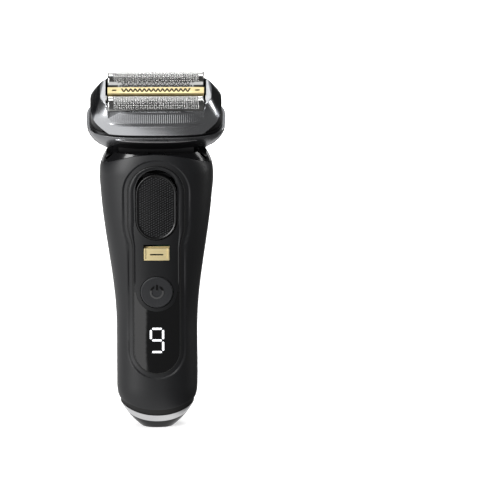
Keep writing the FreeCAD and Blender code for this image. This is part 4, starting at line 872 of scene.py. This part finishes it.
class SHAVER_OT_foils(bpy.types.Operator):
    """Foils: arched steel sheets with rows of real holes"""
    bl_idname = "shaver.foils"
    bl_label = "Foils"

    def execute(self, context):
        pitch = context.scene.shaver.hole_pitch
        for side, y in (("front", -FOIL_Y), ("rear", FOIL_Y)):
            piece = make_piece(side + "_mesh_foil", [foil_sheet(y, pitch)], FINISHES["foil_steel"],
                               side + "_row", [side + "_foil"], sharp=60.0)
            turn_faces(piece, lambda centres: np.array([0.0, 0.0, 1.0]))      # up
            wall = piece.modifiers.new("wall", "SOLIDIFY")
            wall.thickness, wall.offset = 0.16 * MM, -1.0
        return {"FINISHED"}


def wing_columns():
    """Angles round the cassette: even in x along the front and back, even in turn at the sides."""
    even_half, steps, side_steps = 23.6, 270, 66
    a, b = 29.8, 15.3
    x = np.linspace(even_half, -even_half, steps)
    q = (np.abs(x) / a) ** WING_SQUARENESS
    y = b * (1.0 - q) ** (1.0 / WING_SQUARENESS)
    back = np.arctan2(y / b, x / a)
    side = np.linspace(-back[0], back[0], side_steps)[1:-1]
    return np.concatenate([side, back, math.pi + side, math.pi + back])


def cassette_relief(x, z, pitch):
    """Outward relief of the long faces: a soft ridge, and a sunk trapezoid of fine upright ribs."""
    ridge_height, ridge_z, ridge_half = 0.45, 23.9, 24.5
    field_low, field_high, sunk, rib_height = 25.0, 29.6, 0.13, 0.11
    ridge = ridge_height * np.exp(-((z - ridge_z) / 0.5) ** 2) * smooth((ridge_half - np.abs(x)) / 6.0)
    half = 20.6 + (z - 25.2) * 0.42
    field = smooth((half - np.abs(x)) / 0.5)
    field = field * smooth((z - field_low) / 0.35) * smooth((field_high - z) / 0.35)
    ribs = 0.5 + 0.5 * np.cos(2 * math.pi * x / pitch)
    return ridge - field * (sunk - rib_height * ribs)


class SHAVER_OT_cassette(bpy.types.Operator):
    """Cassette frame: low ribbed walls at the front and back, and taller wings at the sides"""
    bl_idname = "shaver.cassette"
    bl_label = "Cassette frame"

    def execute(self, context):
        t = wing_columns()
        cos_t, sin_t = np.cos(t), np.sin(t)
        r = unit_reach(t, WING_SQUARENESS)
        lip_half, low_half, deck_z = 27.0, 31.0, 24.0
        lip_x = lip_half * r * cos_t
        wing = smooth((np.abs(lip_x) - OPEN_X + 0.9) / 2.2)
        top = LIP_Z + (WING_TOP - LIP_Z) * wing
        reach_x = low_half * r * cos_t
        low = WING_BOTTOM + np.maximum(np.abs(reach_x) - WING_FLAT, 0.0) * CORNER_SLOPE
        rows = []
        levels = np.concatenate([[0.0, 0.012, 0.03], np.linspace(0.06, 0.94, 62), [0.97, 0.99, 1.0]])
        insets = np.concatenate([[0.35, 0.12, 0.03], np.zeros(62), [0.03, 0.12, 0.3]])
        for level, inset in zip(levels, insets):
            z = low + (top - low) * level
            a, b = table_at(WING, z, 1) - inset, table_at(WING, z, 2) - inset
            x, y = a * r * cos_t, b * r * sin_t
            long_side = smooth((np.abs(y) / b - 0.55) / 0.2)
            relief = cassette_relief(x, z, context.scene.shaver.rib_pitch) * long_side
            rows.append(np.stack([x, y + np.sign(y) * relief, z], axis=-1))
        rim = rows[-1]
        at_side = np.abs(lip_x) > OPEN_X
        inner_x = np.where(at_side, np.sign(lip_x) * OPEN_X, np.clip(rim[:, 0], -OPEN_X, OPEN_X))
        inner_y = np.where(at_side, np.clip(rim[:, 1], -OPEN_Y, OPEN_Y), np.sign(sin_t) * OPEN_Y)
        for share, drop in ((0.3, -0.06), (0.7, -0.04), (0.94, 0.05), (1.0, 0.3)):
            x = rim[:, 0] + (inner_x - rim[:, 0]) * share
            y = rim[:, 1] + (inner_y - rim[:, 1]) * share
            rows.append(np.stack([x, y, top - np.maximum(drop, 0.0)], axis=-1))
        rows.append(np.stack([inner_x, inner_y, np.full(len(t), deck_z)], axis=-1))
        rows.append(np.stack([inner_x, inner_y, low + 0.15], axis=-1))
        points = in_head(np.stack(rows))
        faces = lattice_faces(len(rows), len(t), close_rows=True, close_columns=True)
        make_piece("wing_frame", [(points, faces)], FINISHES["frame_chrome"], "cassette",
                   ["cassette_frame"], sharp=38.0)
        return {"FINISHED"}


def bowl_front(x, z, proud):
    """The ring's front at (x, z): y = -b (1 - |x/a|^p)^(1/p), moved outwards by proud."""
    a, b, power = (table_at(BOWL, z, k) for k in (1, 2, 3))
    q = np.clip(np.abs(x) / a, 0.0, 0.999)
    return np.stack([x, -b * (1.0 - q ** power) ** (1.0 / power) - proud, z], axis=-1)


class SHAVER_OT_ring(bpy.types.Operator):
    """Trim on the head's ring: a lens-shaped scoop at the front and a bright bead along the top"""
    bl_idname = "shaver.ring"
    bl_label = "Ring trim"

    def execute(self, context):
        scooped = 0.8
        x = np.linspace(-LENS_HALF, LENS_HALF, 181)
        share = np.linspace(-1.0, 1.0, 25)
        height = LENS_HEIGHT * (1.0 - (x / LENS_HALF) ** 2) ** 0.75
        z = LENS_Z + share[:, None] * height[None, :]
        rim = np.exp(-((np.abs(share) - 0.82) / 0.11) ** 2)[:, None] * (height[None, :] / LENS_HEIGHT) ** 0.5
        scoop = -0.12 * (1.0 - (share / scooped) ** 2)[:, None] * (height[None, :] / LENS_HEIGHT)
        edge = smooth((1.0 - np.abs(share)) / 0.12)[:, None]
        proud = (0.2 + 0.24 * rim + np.where(np.abs(share)[:, None] < scooped, scoop, 0.0)) * edge - 0.05
        front = bowl_front(x[None, :] + 0 * z, z, proud)
        back = bowl_front(x[None, :] + 0 * z, z, -0.4 + 0 * z)[::-1]
        faces = lattice_faces(2 * len(share), len(x), close_rows=True)
        make_piece("ring_lens", [(in_head(np.concatenate([front, back])), faces)], FINISHES["satin_chrome"],
                   "head", sharp=60.0)
        t = np.linspace(0.0, 2 * math.pi, 420, endpoint=False)
        turn = np.linspace(0.0, 2 * math.pi, 10, endpoint=False)[:, None]
        z = BEAD_Z + BEAD_RADIUS * np.sin(turn) + 0 * t
        a, b, power = (table_at(BOWL, np.minimum(z, BOWL[-1, 0]), k) for k in (1, 2, 3))
        r = unit_reach(t, power)
        out = BEAD_RADIUS * np.cos(turn) - 0.12
        tube = np.stack([(a + out) * r * np.cos(t), (b + out) * r * np.sin(t), z], axis=-1)
        faces = lattice_faces(len(turn), len(t), close_rows=True, close_columns=True)
        make_piece("ring_bead", [(in_head(tube), faces)], FINISHES["satin_chrome"], "head",
                   sharp=80.0)
        return {"FINISHED"}


# ---- Studio ----
# The floor's own light: weaker within FLOOR_NEAR metres of the shaver
FLOOR_NEAR, FLOOR_BLUR, FLOOR_GLOW = 0.35, 0.3, 0.6
# The floor in reflections: bright, and a share of that beyond the line x = EDGE_X + EDGE_LEAN * y
FLOOR_BOUNCE, FLOOR_DARK = 0.9, 0.11
EDGE_X, EDGE_LEAN, EDGE_BLUR = 0.02, 0.35, 0.014


def area_light(name, place, aim, size, power):
    """A rectangular lamp at a place, turned towards an aim."""
    data = bpy.data.lights.new(name, "AREA")
    data.shape = "RECTANGLE"
    data.size, data.size_y = size
    data.energy = power
    lamp = bpy.data.objects.new(name, data)
    bpy.context.scene.collection.objects.link(lamp)
    lamp.location = place
    lamp.rotation_euler = (Vector(aim) - Vector(place)).to_track_quat("-Z", "Y").to_euler()


class SHAVER_OT_stage(bpy.types.Operator):
    """Pale floor, soft lights and the camera"""
    bl_idname = "shaver.stage"
    bl_label = "Studio"

    def execute(self, context):
        settings = context.scene.shaver
        floor = bpy.data.meshes.new("floor")
        half = 6.0
        floor.from_pydata([(-half, -half, 0), (half, -half, 0), (half, half, 0), (-half, half, 0)], [],
                          [(0, 1, 2, 3)])
        f = Finish("floor_pale")
        cloud = f.noise(f.place(), 3.0)
        colour = tuple(settings.floor_colour)
        x, y, _ = f.axes()
        far = f.step((x * x + y * y) ** 0.5 - FLOOR_NEAR, FLOOR_BLUR)
        f.shader(Base_Color=f.blend(cloud, lighter(colour, 0.985), colour), Roughness=0.6,
                 Specular_IOR_Level=0.2, Emission_Strength=1.0,
                 Emission_Color=f.blend(far, (FLOOR_GLOW,) * 3, (1.0, 1.0, 1.0)))
        # the camera sees the pale floor itself; reflections and bounced light see two plain tones
        dim = f.step(x - y * EDGE_LEAN - EDGE_X, EDGE_BLUR)
        bounced = f.node("ShaderNodeEmission", {}, f.blend(dim, (1.0, 1.0, 1.0), (FLOOR_DARK,) * 3),
                         FLOOR_BOUNCE)
        seen = f.node("ShaderNodeLightPath")
        direct = Value(f, f.principled.outputs[0])
        mixed = f.node("ShaderNodeMixShader", {}, seen, bounced, direct)
        f.links.new(mixed.socket, f.nodes["Material Output"].inputs[0])
        floor.materials.append(f.material)
        ground = bpy.data.objects.new("floor", floor)
        context.scene.collection.objects.link(ground)
        world = bpy.data.worlds.new("studio")
        world.use_nodes = True
        background = world.node_tree.nodes["Background"]
        background.inputs["Color"].default_value = (1.0, 1.0, 1.0, 1.0)
        background.inputs["Strength"].default_value = 0.05 * settings.light_power
        context.scene.world = world
        gain = settings.light_power
        area_light("overhead", (0.0, -0.05, 1.4), (0.0, 0.0, 0.0), (1.3, 0.45), 8.0 * gain)
        area_light("back_card", (0.0, 0.55, 1.1), (0.0, 0.0, 0.15), (1.4, 0.45), 2.6 * gain)
        area_light("left_box", (-0.6, -0.75, 0.4), (0.0, 0.0, 0.12), (0.34, 0.75), 11.5 * gain)
        area_light("right_box", (0.85, 0.1, 0.35), (0.0, 0.0, 0.1), (0.15, 0.7), 2.4 * gain)
        area_light("rear_box", (-0.1, 1.0, 0.7), (0.0, 0.0, 0.1), (0.5, 0.5), 5.0 * gain)
        make_camera(context.scene)
        context.scene.view_settings.view_transform = "Standard"
        return {"FINISHED"}


def make_camera(scene):
    """A long lens a little above the shaver, which stands left of the middle of the frame."""
    data = bpy.data.cameras.new("camera")
    camera = bpy.data.objects.new("camera", data)
    scene.collection.objects.link(camera)
    scene.camera = camera
    distance, frame_width = 8.0, 229.82 * MM
    elevation, roll = math.radians(14.0), math.radians(-0.2)
    target = Vector((0.0430, 0.0, 0.0815))
    camera.location = target + distance * Vector((0.0, -math.cos(elevation), math.sin(elevation)))
    level = (target - camera.location).to_track_quat("-Z", "Y")
    camera.rotation_euler = (level @ Quaternion((0.0, 0.0, 1.0), roll)).to_euler()
    data.sensor_width = 36.0
    data.lens = data.sensor_width * distance / frame_width
    data.clip_start, data.clip_end = 0.05, 50.0


# ---- Panel and registration ----
STEPS = ("finishes", "cover", "seam", "crown", "slider", "mark", "zigzag", "power", "foils", "cassette",
         "ring", "stage")


class SHAVER_PT_panel(bpy.types.Panel):
    """The shaver's settings and its pieces"""
    bl_idname = "SHAVER_PT_panel"
    bl_label = "Shaver"
    bl_space_type = "VIEW_3D"
    bl_region_type = "UI"
    bl_category = "Shaver"

    def draw(self, context):
        for key in ShaverSettings.__annotations__:
            self.layout.prop(context.scene.shaver, key)
        for step in STEPS:
            self.layout.operator("shaver." + step)


CLASSES = (ShaverSettings, SHAVER_OT_finishes, SHAVER_OT_cover, SHAVER_OT_seam, SHAVER_OT_crown,
           SHAVER_OT_slider, SHAVER_OT_mark, SHAVER_OT_zigzag, SHAVER_OT_power, SHAVER_OT_foils,
           SHAVER_OT_cassette, SHAVER_OT_ring, SHAVER_OT_stage, SHAVER_PT_panel)


def register():
    for item in CLASSES:
        bpy.utils.register_class(item)
    bpy.types.Scene.shaver = bpy.props.PointerProperty(type=ShaverSettings)


def unregister():
    del bpy.types.Scene.shaver
    for item in reversed(CLASSES):
        bpy.utils.unregister_class(item)


def main():
    """Builds every piece in order."""
    register()
    for step in STEPS:
        getattr(bpy.ops.shaver, step)()


if __name__ == "__main__":
    main()
